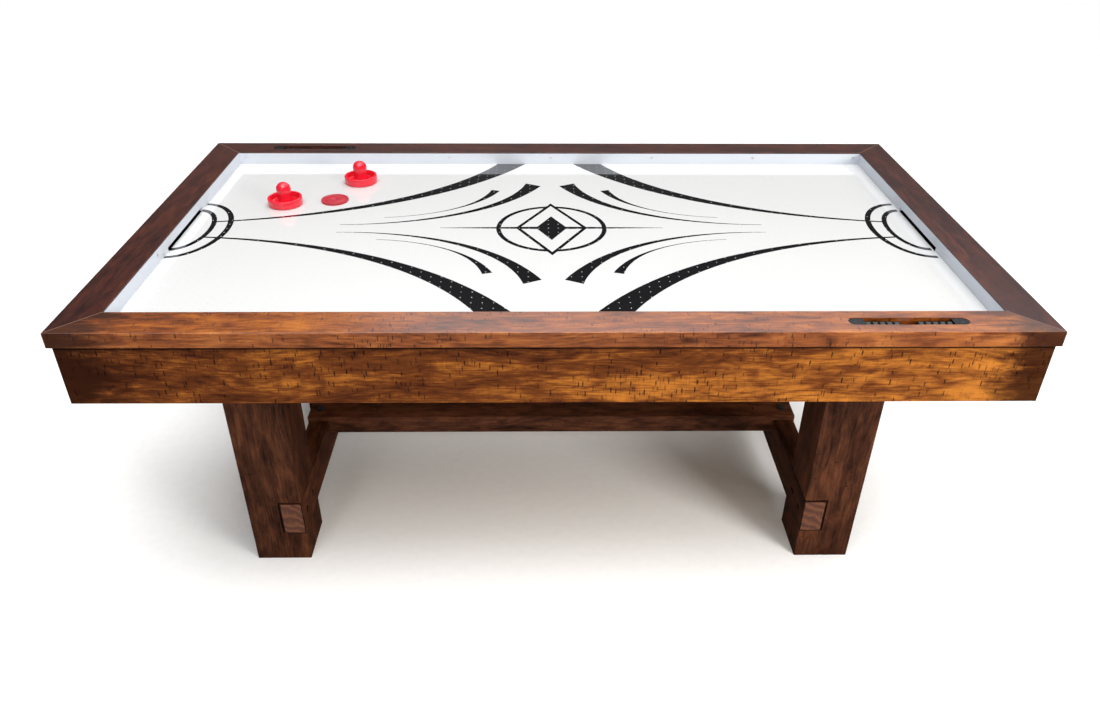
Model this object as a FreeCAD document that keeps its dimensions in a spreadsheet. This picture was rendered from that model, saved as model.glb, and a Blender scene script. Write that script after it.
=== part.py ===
import FreeCAD, Part
import math
import os
import Sketcher

# Air hockey table, a free-standing game table with an air-blown playfield.
# Units are millimetres. The origin is on the floor under the middle of the table,
# +X runs along the table to the right, +Y to the back and +Z up.

DIMENSIONS = [
    ("table_length", 2080, "overall length over the rails"),
    ("table_width", 1170, "overall width over the rails"),
    ("table_height", 813, "floor to rail top"),
    ("rail_width", 88, "width of the four mitred top boards"),
    ("rail_thickness", 36, "thickness of the top boards"),
    ("rail_overhang", 8, "how far the boards stand out past the aprons"),
    ("edge_radius", 3, "rounding of the wooden edges"),
    ("apron_height", 143, "height of the side boards"),
    ("apron_thickness", 19, "thickness of the side boards"),
    ("field_thickness", 12, "thickness of the playfield panel"),
    ("fit_gap", 1, "assembly gap round loose-fitted panels"),
    ("bank_thickness", 6, "thickness of the white bank strips"),
    ("bank_height", 33, "height of the bank strips"),
    ("bank_screw_pitch", 311, "spacing of the screws in the long banks"),
    ("bank_screw_rise", 20, "height of the bank screws over the playfield"),
    ("end_screw_offset", 190, "place of the screws in the end banks, from the middle"),
    ("end_screw_step", 230, "spacing of the screws in the end banks"),
    ("screw_head_radius", 4, "radius of a bank screw's head"),
    ("screw_head_depth", 2, "thickness of a bank screw's head"),
    ("screw_shank_radius", 2, "radius of a bank screw's shank"),
    ("screw_length", 22, "length of a bank screw"),
    ("goal_width", 256, "length of a goal slot"),
    ("goal_height", 10, "height of a goal slot"),
    ("leg_width", 142, "side of a square leg"),
    ("leg_centre_x", 722, "leg centre from the table's middle, along X"),
    ("leg_centre_y", 326, "leg centre from the table's middle, along Y"),
    ("stretcher_width", 58, "width of an end stretcher"),
    ("stretcher_height", 102, "height of an end stretcher"),
    ("stretcher_base", 89, "floor to the underside of the stretchers"),
    ("notch_gap", 4, "shrinkage gap over a stretcher in its leg notch"),
    ("notch_side_gap", 3, "gap beside a stretcher in its leg notch"),
    ("beam_width", 80, "width of the long centre beam"),
    ("beam_base", 150, "floor to the underside of the centre beam"),
    ("beam_height", 56, "height of the centre beam"),
    ("lap_base", 170, "height of the half-lap seat of the beam on a stretcher"),
    ("bolt_rise", 140, "height of the stretcher bolts"),
    ("bolt_spread", 32, "stretcher bolts, from the leg's centre along Y"),
    ("bolt_radius", 5, "radius of the frame bolts"),
    ("bolt_head_radius", 8, "radius of the frame bolts' heads"),
    ("bolt_head_height", 8, "height of the frame bolts' heads"),
    ("bolt_sink", 20, "depth of the counterbores"),
    ("bolt_sink_radius", 9, "radius of the counterbores"),
    ("bolt_length", 100, "shank length of the frame bolts"),
    ("shank_clearance", 0.05, "radial clearance round shafts and shanks"),
    ("cross_width", 164, "width of the two cross members over the legs"),
    ("cross_thickness", 38, "thickness of the cross members"),
    ("block_side", 45, "side of a square corner block"),
    ("block_lift", 6, "corner block's foot over the apron's lower edge"),
    ("plenum_reach", 940, "air chamber's end, from the middle"),
    ("plenum_height", 45, "height of the air chamber"),
    ("plenum_rim", 25, "width of the air chamber's battens"),
    ("plenum_gap", 2, "gap between the air chamber and the aprons"),
    ("plenum_vent_radius", 14, "air holes through the chamber's ribs"),
    ("base_thickness", 6, "thickness of the air chamber's floor"),
    ("blower_port_radius", 42, "air port between blower and chamber"),
    ("tray_reach", 133, "length of a puck tray, inwards from the end apron"),
    ("tray_width", 268, "width of a puck tray"),
    ("tray_wall", 3, "wall of a puck tray"),
    ("tray_lift", 6, "tray's floor over the apron's lower edge"),
    ("window_width", 240, "width of the hand window in an end apron"),
    ("window_height", 66, "height of the hand window"),
    ("window_lift", 12, "hand window over the apron's lower edge"),
    ("scorer_offset", 730, "scorer's centre from the table's middle"),
    ("slot_length", 254, "length of a scorer's slot"),
    ("slot_width", 29, "width of a scorer's slot"),
    ("slot_depth", 27, "depth of a scorer's slot"),
    ("cap_length", 34, "length of a scorer's end cap"),
    ("cap_gap", 0.3, "gap between an end cap and its slot"),
    ("cap_drop", 1, "top of the caps under the rail's surface"),
    ("bead_length", 15, "length of a bead along the rod"),
    ("bead_gap", 0.2, "gap between beads"),
    ("bead_radius", 12, "radius of a bead"),
    ("bead_round", 4, "rounding of a bead"),
    ("rod_radius", 3, "radius of a scorer's rod"),
    ("rod_depth", 14, "rod's axis under the rail's surface"),
    ("rod_seat", 16, "length of the rod inside an end cap"),
    ("mallet_radius", 46.5, "outer radius of a mallet"),
    ("mallet_height", 63.5, "height of a mallet over the playfield"),
    ("mallet_rim_height", 22, "height of a mallet's outer ring"),
    ("mallet_rim_width", 7, "width of a mallet's outer ring at its top"),
    ("mallet_floor", 7, "thickness of a mallet under its trough"),
    ("knob_radius", 20, "radius of a mallet's knob"),
    ("felt_radius", 42, "radius of the felt pad"),
    ("felt_thickness", 2, "thickness of the felt pad"),
    ("felt_proud", 1, "how far the felt stands out under the mallet"),
    ("puck_radius", 37.5, "radius of the puck"),
    ("puck_thickness", 5.5, "thickness of the puck"),
    ("drum_radius", 95, "outer radius of the blower's drum"),
    ("drum_height", 65, "height of the blower's drum"),
    ("drum_wall", 3, "wall of the blower's drum"),
    ("flange_side", 230, "side of the blower's square flange"),
    ("intake_radius", 50, "radius of the blower's intake"),
    ("impeller_radius", 80, "outer radius of the blades"),
    ("impeller_eye", 50, "inner radius of the blades"),
    ("blade_height", 20, "height of the blades"),
    ("blade_thickness", 2, "thickness of a blade"),
    ("blade_count", 24, "number of blades"),
    ("hub_radius", 12, "radius of the impeller's hub"),
    ("shaft_radius", 4, "radius of the blower's shaft"),
    ("motor_radius", 30, "radius of the blower's motor"),
    ("motor_height", 26, "height of the blower's motor"),
    ("wire_radius", 1.5, "half the width of the intake guard's bars"),
    ("switch_x", -420, "place of the power switch along the back apron"),
    ("inlet_x", -370, "place of the power inlet along the back apron"),
    ("socket_z", 690, "height of the switch and inlet"),
    ("socket_width", 30, "width of the switch and inlet bodies"),
    ("socket_height", 24, "height of the switch and inlet bodies"),
    ("socket_depth", 38, "depth of the switch and inlet bodies"),
    ("socket_wall", 2, "wall of the switch and inlet bodies"),
    ("bezel_margin", 4, "bezel's width round the bodies"),
    ("bezel_thickness", 2, "thickness of a bezel"),
    ("rocker_width", 25.4, "width of the rocker"),
    ("rocker_pin_radius", 1.5, "radius of the rocker's pivot"),
    ("lead_radius", 3.5, "radius of the inner power lead"),
    ("clip_side", 12, "side of a lead clip's block"),
]

ROCKER_TILT = 9             # degrees, the rocker at rest is in its "off" position
RAIL_SCREWS = (-3, -2, -1, 0, 1, 2, 3)


class Length:
    """A length worked out from the sheet: its expression and its present value."""

    def __init__(self, text, value):
        self.text = text
        self.value = value

    def joined(self, sign, other, value):
        return Length(f"({self.text} {sign} {other.text})", value)

    def __add__(self, other):
        other = length(other)
        return self.joined("+", other, self.value + other.value)

    def __sub__(self, other):
        other = length(other)
        return self.joined("-", other, self.value - other.value)

    def __mul__(self, other):
        other = length(other)
        return self.joined("*", other, self.value * other.value)

    def __truediv__(self, other):
        other = length(other)
        return self.joined("/", other, self.value / other.value)

    def __neg__(self):
        return Length(f"(-1 * {self.text})", -self.value)

    __radd__ = __add__
    __rmul__ = __mul__


def length(number):
    """A plain number as a Length; a Length stays as it is."""
    if isinstance(number, Length):
        return number
    return Length(f"({number})", float(number))


doc = FreeCAD.newDocument("air_hockey_table")
sheet = doc.addObject("Spreadsheet::Sheet", "Dims")
D = {}
for row, (alias, value, note) in enumerate(DIMENSIONS, start=1):
    sheet.set(f"A{row}", note)
    sheet.set(f"B{row}", str(value))
    sheet.setAlias(f"B{row}", alias)
    D[alias] = Length(f"Dims.{alias}", float(value))
doc.recompute()

NODES = []

# ---------------------------------------------------------------- levels and faces
half_length = D["table_length"] / 2
half_width = D["table_width"] / 2
rail_base = D["table_height"] - D["rail_thickness"]
inner_x = half_length - D["rail_width"]
inner_y = half_width - D["rail_width"]
apron_x = half_length - D["rail_overhang"]
apron_y = half_width - D["rail_overhang"]
bay_x = apron_x - D["apron_thickness"]
bay_y = apron_y - D["apron_thickness"]
apron_base = rail_base - D["apron_height"]
field_base = rail_base - D["field_thickness"]
plenum_base = field_base - D["plenum_height"]
base_bottom = plenum_base - D["base_thickness"]
leg_top = base_bottom - D["cross_thickness"]
leg_inner = D["leg_centre_x"] - D["leg_width"] / 2
leg_front = D["leg_centre_y"] + D["leg_width"] / 2
goal_half = D["goal_width"] / 2


# ---------------------------------------------------------------- modelling helpers
def place(obj, x=0, y=0, z=0, rotation=None):
    """Stand an object at x, y, z, with its place bound to the sheet."""
    if rotation is not None:
        obj.Placement = FreeCAD.Placement(FreeCAD.Vector(0, 0, 0), rotation)
    for axis, value in (("x", x), ("y", y), ("z", z)):
        obj.setExpression(f"Placement.Base.{axis}", length(value).text)
    return obj


def turned(axis, degrees):
    return FreeCAD.Rotation(FreeCAD.Vector(*axis), degrees)


def node(obj, label):
    """Name a finished sub-part and put it on the list of exported nodes."""
    obj.Label = label
    NODES.append(obj)
    return obj


def box(low, high, rotation=None):
    """A block between two corners."""
    block = doc.addObject("Part::Box", "block")
    for side, (start, end) in zip(("Length", "Width", "Height"), zip(low, high)):
        block.setExpression(side, (length(end) - length(start)).text)
    return place(block, *low, rotation=rotation)


def cylinder(radius, height, x=0, y=0, z=0, rotation=None):
    """A round bar standing on x, y, z; a rotation lays it along another axis."""
    bar = doc.addObject("Part::Cylinder", "bar")
    bar.setExpression("Radius", length(radius).text)
    bar.setExpression("Height", length(height).text)
    return place(bar, x, y, z, rotation)


def fuse(pieces):
    whole = doc.addObject("Part::MultiFuse", "fused")
    whole.Shapes = pieces
    return whole


def cut(base, tools):
    tool = tools[0]
    if len(tools) > 1:
        tool = doc.addObject("Part::Compound", "tools")
        tool.Links = tools
    remainder = doc.addObject("Part::Cut", "cut")
    remainder.Base = base
    remainder.Tool = tool
    return remainder


def group(pieces):
    """Identical pieces that share one node, each a solid of its own."""
    together = doc.addObject("Part::Compound", "group")
    together.Links = pieces
    return together


def loose_body(label, x=0, y=0, z=0, rotation=None):
    """A body that is part of a node rather than a node by itself."""
    return place(doc.addObject("PartDesign::Body", label), x, y, z, rotation)


def new_body(label, x=0, y=0, z=0, rotation=None):
    return node(loose_body(label, x, y, z, rotation), label)


def sketch_on(body, plane="XY_Plane", lift=0):
    """An empty sketch on one of the body's own origin planes, lifted off it."""
    sketch = body.newObject("Sketcher::SketchObject", "sketch")
    role = [feature for feature in body.Origin.OriginFeatures if feature.Role == plane]
    sketch.AttachmentSupport = [(role[0], "")]
    sketch.MapMode = "FlatFace"
    sketch.setExpression("AttachmentOffset.Base.z", length(lift).text)
    return sketch


def pin_point(sketch, geometry, point, x, y):
    """Hold one point of a sketch at x, y from the sketch's origin."""
    for kind, value in (("DistanceX", length(x)), ("DistanceY", length(y))):
        index = sketch.addConstraint(
            Sketcher.Constraint(kind, -1, 1, geometry, point, value.value))
        sketch.setExpression(f"Constraints[{index}]", value.text)


def draw_polygon(sketch, corners):
    """A closed outline of straight lines through corners given as lengths."""
    points = [FreeCAD.Vector(length(x).value, length(y).value, 0) for x, y in corners]
    first = sketch.GeometryCount
    count = len(points)
    for index in range(count):
        sketch.addGeometry(Part.LineSegment(points[index], points[(index + 1) % count]), False)
    for index in range(count):
        following = first + (index + 1) % count
        sketch.addConstraint(Sketcher.Constraint("Coincident", first + index, 2, following, 1))
        pin_point(sketch, first + index, 1, *corners[index])


def draw_rectangle(sketch, low, high):
    draw_polygon(sketch, [low, (high[0], low[1]), high, (low[0], high[1])])


def draw_circle(sketch, x, y, radius):
    centre = FreeCAD.Vector(length(x).value, length(y).value, 0)
    circle = Part.Circle(centre, FreeCAD.Vector(0, 0, 1), length(radius).value)
    index = sketch.addGeometry(circle, False)
    pin_point(sketch, index, 3, x, y)
    radius_at = sketch.addConstraint(Sketcher.Constraint("Radius", index, length(radius).value))
    sketch.setExpression(f"Constraints[{radius_at}]", length(radius).text)


def draw_stadium(sketch, x, y, whole_length, width):
    """A slot outline along X: two half circles joined by straight sides."""
    radius = length(width) / 2
    reach = length(whole_length) / 2 - radius
    ends = []
    for side, start in ((-1, math.pi / 2), (1, -math.pi / 2)):
        centre_x = length(x) + reach * side
        centre = FreeCAD.Vector(centre_x.value, length(y).value, 0)
        round_end = Part.Circle(centre, FreeCAD.Vector(0, 0, 1), radius.value)
        index = sketch.addGeometry(Part.ArcOfCircle(round_end, start, start + math.pi), False)
        pin_point(sketch, index, 3, centre_x, y)
        ends.append((index, centre_x))
    (left, left_x), (right, right_x) = ends
    for side in (-1, 1):
        rise = length(y).value + side * radius.value
        line = Part.LineSegment(FreeCAD.Vector(left_x.value, rise, 0),
                                FreeCAD.Vector(right_x.value, rise, 0))
        index = sketch.addGeometry(line, False)
        left_end, right_end = (2, 1) if side < 0 else (1, 2)
        sketch.addConstraint(Sketcher.Constraint("Tangent", index, 1, left, left_end))
        sketch.addConstraint(Sketcher.Constraint("Tangent", index, 2, right, right_end))
    radius_at = sketch.addConstraint(Sketcher.Constraint("Radius", left, radius.value))
    sketch.setExpression(f"Constraints[{radius_at}]", radius.text)


def pad(body, sketch, height):
    feature = body.newObject("PartDesign::Pad", "pad")
    feature.Profile = sketch
    feature.setExpression("Length", length(height).text)
    return feature


def pocket(body, sketch, depth, along_normal=False):
    """Cut a sketch into the body, against its normal unless told otherwise."""
    doc.recompute()
    before = body.Shape.Volume
    feature = body.newObject("PartDesign::Pocket", "pocket")
    feature.Profile = sketch
    feature.Reversed = along_normal
    feature.setExpression("Length", length(depth).text)
    doc.recompute()
    if body.Shape.Volume > before - 1:
        raise RuntimeError(f"a pocket of {body.Label} cuts nothing")
    return feature


def revolve(body, sketch):
    feature = body.newObject("PartDesign::Revolution", "revolution")
    feature.Profile = sketch
    feature.ReferenceAxis = (sketch, ["V_Axis"])
    feature.Angle = 360
    return feature


def round_edges(body, feature, radius, wanted):
    """Fillet the edges of a feature whose middle point passes the test wanted."""
    doc.recompute()
    names = []
    for number, edge in enumerate(feature.Shape.Edges, start=1):
        middle = edge.valueAt((edge.FirstParameter + edge.LastParameter) / 2)
        if wanted(middle, edge):
            names.append(f"Edge{number}")
    fillet = body.newObject("PartDesign::Fillet", "rounding")
    fillet.Base = (feature, names)
    fillet.setExpression("Radius", length(radius).text)
    doc.recompute()
    return fillet


def is_upright(edge):
    ends = edge.Vertexes
    return len(ends) == 2 and abs(ends[0].Z - ends[1].Z) > 1


def near(a, b):
    return abs(a - b) < 0.01


# ---------------------------------------------------------------- top rails
def screw_line():
    """Places of the screws along a long bank."""
    return [D["bank_screw_pitch"] * step for step in RAIL_SCREWS]


def end_screw_line():
    """Places of the screws along an end bank, clear of the goal."""
    offsets = (D["end_screw_offset"], D["end_screw_offset"] + D["end_screw_step"])
    return [side * offset for offset in offsets for side in (-1, 1)]


def rail_board(label, rotation, reach, depth, inner, lift=0):
    """A mitred board whose outer edge is its -Y side, before it is turned into place."""
    body = loose_body(label, z=rail_base + lift, rotation=rotation)
    outline = sketch_on(body)
    corner = D["rail_width"]
    draw_polygon(outline, [(-reach, -depth), (reach, -depth),
                           (reach - corner, corner - depth), (corner - reach, corner - depth)])
    thickness = D["rail_thickness"] - lift
    board = pad(body, outline, thickness)
    top = thickness.value

    def long_edge(middle, edge):
        outer = near(middle.y, -depth.value) and (near(middle.z, top) or not lift)
        upper_inner = near(middle.y, -inner.value) and near(middle.z, top)
        return (outer or upper_inner) and not is_upright(edge)

    round_edges(body, board, D["edge_radius"] * 0.5, long_edge)
    rabbet = sketch_on(body)
    seat = inner + D["bank_thickness"]
    draw_rectangle(rabbet, (corner - reach, -seat), (reach - corner, -inner))
    pocket(body, rabbet, D["bank_height"] - lift, along_normal=True)
    return body, seat


def drill_screw_holes(body, seat, places, lift=0):
    """Pilot holes for the bank screws, from the rabbet outwards."""
    holes = sketch_on(body, "XZ_Plane", seat)
    for x in places:
        draw_circle(holes, x, D["bank_screw_rise"] - lift, D["screw_shank_radius"])
    depth = D["screw_length"] - D["bank_thickness"] + D["fit_gap"]
    pocket(body, holes, depth, along_normal=True)


def long_rail(label, rotation):
    body, seat = rail_board(label, rotation, half_length, half_width, inner_y)
    drill_screw_holes(body, seat, screw_line())
    slot = sketch_on(body, lift=D["rail_thickness"])
    middle = half_width - D["rail_width"] / 2
    draw_stadium(slot, D["scorer_offset"], -middle, D["slot_length"], D["slot_width"])
    pocket(body, slot, D["slot_depth"])
    node(body, label)


def packer(label, rotation, outline):
    """A flat block glued under an end rail's board, its outer lower edge rounded."""
    body = loose_body(label, z=rail_base, rotation=rotation)
    face = sketch_on(body)
    draw_polygon(face, outline)
    block = pad(body, face, D["goal_height"])

    def outer_lower(middle, edge):
        return near(middle.y, -half_length.value) and near(middle.z, 0) and not is_upright(edge)

    round_edges(body, block, D["edge_radius"] * 0.5, outer_lower)
    return body


def end_rail(label, rotation):
    """A mitred board on packers that leave the goal's slot open under it."""
    board, seat = rail_board(f"{label}_board", rotation, half_width, half_length, inner_x,
                             lift=D["goal_height"])
    drill_screw_holes(board, seat, end_screw_line(), lift=D["goal_height"])
    mitre = half_width - (half_length - seat)
    layers = [board]
    for side in (-1, 1):
        layers.append(packer(f"{label}_packer", rotation,
                             [(goal_half * side, -half_length), (half_width * side, -half_length),
                              (mitre * side, -seat), (goal_half * side, -seat)]))
    layers.append(packer(f"{label}_lip", rotation,
                         [(-goal_half, -half_length), (goal_half, -half_length),
                          (goal_half, -bay_x), (-goal_half, -bay_x)]))
    node(group(layers), label)


FRONT = turned((0, 0, 1), 0)
BACK = turned((0, 0, 1), 180)
LEFT = turned((0, 0, 1), -90)
RIGHT = turned((0, 0, 1), 90)
long_rail("rail_front", FRONT)
long_rail("rail_back", BACK)
end_rail("rail_left", LEFT)
end_rail("rail_right", RIGHT)


# ---------------------------------------------------------------- white bank strips
def bank_strip(label, rotation, inner, start, end, places, lift=0):
    """A strip standing in the rail's rabbet, its face towards +Y, with its screw holes."""
    body = loose_body(label, z=rail_base + lift, rotation=rotation)
    outline = sketch_on(body)
    draw_rectangle(outline, (start, -(inner + D["bank_thickness"])), (end, -inner))
    pad(body, outline, D["bank_height"] - lift)
    if places:
        heads = sketch_on(body, "XZ_Plane", inner)
        shanks = sketch_on(body, "XZ_Plane", inner)
        for x in places:
            draw_circle(heads, x, D["bank_screw_rise"], D["screw_head_radius"])
            draw_circle(shanks, x, D["bank_screw_rise"], D["screw_shank_radius"])
        pocket(body, heads, D["screw_head_depth"], along_normal=True)
        pocket(body, shanks, D["bank_thickness"], along_normal=True)
    return body


def end_bank(label, rotation):
    """Two strips beside the goal and a bridge over its slot."""
    places = end_screw_line()
    left = [x for x in places if x.value < 0]
    right = [x for x in places if x.value > 0]
    strips = [
        bank_strip(f"{label}_strip", rotation, inner_x, -inner_y, -goal_half, left),
        bank_strip(f"{label}_strip", rotation, inner_x, goal_half, inner_y, right),
        bank_strip(f"{label}_bridge", rotation, inner_x, -goal_half, goal_half, [],
                   lift=D["goal_height"]),
    ]
    node(group(strips), label)


node(bank_strip("bank_front", FRONT, inner_y, -inner_x, inner_x, screw_line()), "bank_front")
node(bank_strip("bank_back", BACK, inner_y, -inner_x, inner_x, screw_line()), "bank_back")
end_bank("bank_left", LEFT)
end_bank("bank_right", RIGHT)


def bank_screw(x, y, rotation):
    """A countersunk screw whose face is flush with the bank; its shank runs into the rail."""
    z = rail_base + D["bank_screw_rise"]
    head = cylinder(D["screw_head_radius"], D["screw_head_depth"], x, y, z, rotation)
    shank = cylinder(D["screw_shank_radius"], D["screw_length"], x, y, z, rotation)
    return fuse([head, shank])


OUT_FRONT = turned((1, 0, 0), 90)
OUT_BACK = turned((1, 0, 0), -90)
OUT_LEFT = turned((0, 1, 0), -90)
OUT_RIGHT = turned((0, 1, 0), 90)
screws = []
for place_x in screw_line():
    screws.append(bank_screw(place_x, -inner_y, OUT_FRONT))
    screws.append(bank_screw(place_x, inner_y, OUT_BACK))
for place_y in end_screw_line():
    screws.append(bank_screw(-inner_x, place_y, OUT_LEFT))
    screws.append(bank_screw(inner_x, place_y, OUT_RIGHT))
node(group(screws), "bank_screws")


# ---------------------------------------------------------------- aprons
def rounded_board(label, low, high, wanted):
    """A board between two plan corners, standing from low z to high z."""
    body = new_body(label, z=low[2])
    outline = sketch_on(body)
    draw_rectangle(outline, low[:2], high[:2])
    board = pad(body, outline, length(high[2]) - length(low[2]))
    round_edges(body, board, D["edge_radius"] * 0.5, wanted)
    return body


def lower_front_edge(middle, edge):
    return near(middle.z, 0) and near(abs(middle.y), apron_y.value)


def lower_end_edge(middle, edge):
    return near(middle.z, 0) and near(abs(middle.x), apron_x.value)


rounded_board("apron_front", (-apron_x, -apron_y, apron_base), (apron_x, -bay_y, rail_base),
              lower_front_edge)
apron_back = rounded_board("apron_back", (-apron_x, bay_y, apron_base),
                           (apron_x, apron_y, rail_base), lower_front_edge)
sockets = sketch_on(apron_back, "XZ_Plane", -apron_y)
for socket_x in (D["switch_x"], D["inlet_x"]):
    half_w = D["socket_width"] / 2
    half_h = D["socket_height"] / 2
    rise = D["socket_z"] - apron_base
    draw_rectangle(sockets, (socket_x - half_w, rise - half_h), (socket_x + half_w, rise + half_h))
pocket(apron_back, sockets, D["apron_thickness"], along_normal=True)

for label, side in (("apron_left", -1), ("apron_right", 1)):
    low_x, high_x = (bay_x, apron_x) if side > 0 else (-apron_x, -bay_x)
    end_apron = rounded_board(label, (low_x, -bay_y, apron_base), (high_x, bay_y, rail_base),
                              lower_end_edge)
    window = sketch_on(end_apron, "YZ_Plane", high_x)
    window_half = D["window_width"] / 2
    draw_rectangle(window, (-window_half, D["window_lift"]),
                   (window_half, D["window_lift"] + D["window_height"]))
    pocket(end_apron, window, D["apron_thickness"])

blocks = []
for side_x in (-1, 1):
    for side_y in (-1, 1):
        block_x = bay_x - D["block_side"] if side_x > 0 else -bay_x
        block_y = bay_y - D["block_side"] if side_y > 0 else -bay_y
        block_z = apron_base + D["block_lift"]
        blocks.append(box((block_x, block_y, block_z),
                          (block_x + D["block_side"], block_y + D["block_side"], field_base)))
node(group(blocks), "corner_blocks")

# ---------------------------------------------------------------- playfield and air chamber
field = new_body("playfield", z=field_base)
outline = sketch_on(field)
field_x = bay_x - D["fit_gap"]
field_y = bay_y - D["fit_gap"]
draw_polygon(outline, [(-field_x, -field_y), (field_x, -field_y), (field_x, -goal_half),
                       (inner_x, -goal_half), (inner_x, goal_half), (field_x, goal_half),
                       (field_x, field_y), (-field_x, field_y), (-field_x, goal_half),
                       (-inner_x, goal_half), (-inner_x, -goal_half), (-field_x, -goal_half)])
pad(field, outline, D["field_thickness"])

RIB_BAYS = 4
plenum_x = D["plenum_reach"]
plenum_y = bay_y - D["plenum_gap"]
frame = new_body("plenum_frame", z=plenum_base)
outline = sketch_on(frame)
draw_rectangle(outline, (-plenum_x, -plenum_y), (plenum_x, plenum_y))
rim = D["plenum_rim"]
bay_pitch = (plenum_x * 2 - rim) / RIB_BAYS
for bay in range(RIB_BAYS):
    bay_start = rim - plenum_x + bay_pitch * bay
    draw_rectangle(outline, (bay_start, rim - plenum_y), (bay_start + bay_pitch - rim, plenum_y - rim))
pad(frame, outline, D["plenum_height"])
vents = sketch_on(frame, "YZ_Plane", plenum_x - rim)
for vent in (-4, -3, -2, -1, 1, 2, 3, 4):
    draw_circle(vents, D["plenum_rim"] * 4 * vent, D["plenum_height"] / 2, D["plenum_vent_radius"])
pocket(frame, vents, (plenum_x - rim) * 2)

chamber_floor = new_body("plenum_base", z=base_bottom)
outline = sketch_on(chamber_floor)
draw_rectangle(outline, (-plenum_x, -plenum_y), (plenum_x, plenum_y))
draw_circle(outline, 0, 0, D["blower_port_radius"])
pad(chamber_floor, outline, D["base_thickness"])

# ---------------------------------------------------------------- puck trays
for label, side in (("puck_tray_left", -1), ("puck_tray_right", 1)):
    tray_low = bay_x - D["tray_reach"] if side > 0 else -bay_x
    tray_high = tray_low + D["tray_reach"]
    tray_half = D["tray_width"] / 2
    tray_z = apron_base + D["tray_lift"]
    wall = D["tray_wall"]
    shell = box((tray_low, -tray_half, tray_z), (tray_high, tray_half, base_bottom - D["fit_gap"]))
    hollow_low = tray_low + wall if side > 0 else tray_low - wall
    hollow_high = tray_high + wall if side > 0 else tray_high - wall
    hollow = box((hollow_low, wall - tray_half, tray_z + wall),
                 (hollow_high, tray_half - wall, base_bottom + wall))
    node(cut(shell, [hollow]), label)


# ---------------------------------------------------------------- legs and underframe
def frame_bolt(x, y, z, rotation):
    """A hex-head bolt whose head's outer face is at x, y, z, pointing away from it."""
    head = doc.addObject("Part::Prism", "head")
    head.Polygon = 6
    head.setExpression("Circumradius", D["bolt_head_radius"].text)
    head.setExpression("Height", D["bolt_head_height"].text)
    place(head, x, y, z, rotation)
    shank = cylinder(D["bolt_radius"], D["bolt_length"], x, y, z, rotation)
    return fuse([head, shank])


def bolt_bores(x, y, z, rotation):
    """The counterbore and clearance hole of a frame bolt that starts at x, y, z."""
    reach = D["bolt_sink"] + D["bolt_length"] + D["fit_gap"]
    return [cylinder(D["bolt_sink_radius"], D["bolt_sink"], x, y, z, rotation),
            cylinder(D["bolt_radius"] + D["shank_clearance"], reach, x, y, z, rotation)]


DOWN = turned((1, 0, 0), 180)
head_rest = D["bolt_sink"] - D["bolt_head_height"]
cross_top = base_bottom
leg_bolt_offset = D["leg_width"] / 4
stretcher_bolts = []
leg_bolts = []
cross_bores = {-1: [], 1: []}
stretcher_bores = {-1: [], 1: []}

for label, side_x, side_y in (("leg_front_left", -1, -1), ("leg_front_right", 1, -1),
                              ("leg_back_left", -1, 1), ("leg_back_right", 1, 1)):
    centre_x = D["leg_centre_x"] * side_x
    centre_y = D["leg_centre_y"] * side_y
    half = D["leg_width"] / 2
    leg_body = doc.addObject("PartDesign::Body", label + "_post")
    outline = sketch_on(leg_body)
    draw_rectangle(outline, (centre_x - half, centre_y - half), (centre_x + half, centre_y + half))
    post = pad(leg_body, outline, leg_top)
    round_edges(leg_body, post, D["edge_radius"], lambda middle, edge: is_upright(edge))
    seat = D["stretcher_width"] + D["notch_side_gap"]
    notch = sketch_on(leg_body, lift=D["stretcher_base"])
    notch_x = leg_inner if side_x > 0 else -(leg_inner + seat)
    draw_rectangle(notch, (notch_x, centre_y - half), (notch_x + seat, centre_y + half))
    pocket(leg_body, notch, D["stretcher_height"] + D["notch_gap"], along_normal=True)

    inward = OUT_RIGHT if side_x > 0 else OUT_LEFT
    bores = []
    for side in (-1, 1):
        bolt_y = centre_y + D["bolt_spread"] * side
        bolt_x = leg_inner * side_x
        side_bores = bolt_bores(bolt_x, bolt_y, D["bolt_rise"], inward)
        stretcher_bores[side_x] += side_bores
        bores.append(side_bores[1])
        head_x = (leg_inner + head_rest) * side_x
        stretcher_bolts.append(frame_bolt(head_x, bolt_y, D["bolt_rise"], inward))

        top_x = centre_x + leg_bolt_offset * side
        top_bores = bolt_bores(top_x, centre_y, cross_top, DOWN)
        cross_bores[side_x] += top_bores
        bores.append(top_bores[1])
        leg_bolts.append(frame_bolt(top_x, centre_y, cross_top - head_rest, DOWN))
    node(cut(leg_body, bores), label)
node(group(stretcher_bolts), "stretcher_bolts")
node(group(leg_bolts), "leg_bolts")

beam_half = D["beam_width"] / 2
beam_top = D["beam_base"] + D["beam_height"]
stretcher_top = D["stretcher_base"] + D["stretcher_height"]
beam_bolt_x = leg_inner + D["stretcher_width"] / 2
beam_bolt_depth = D["stretcher_height"] * 0.6

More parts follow.
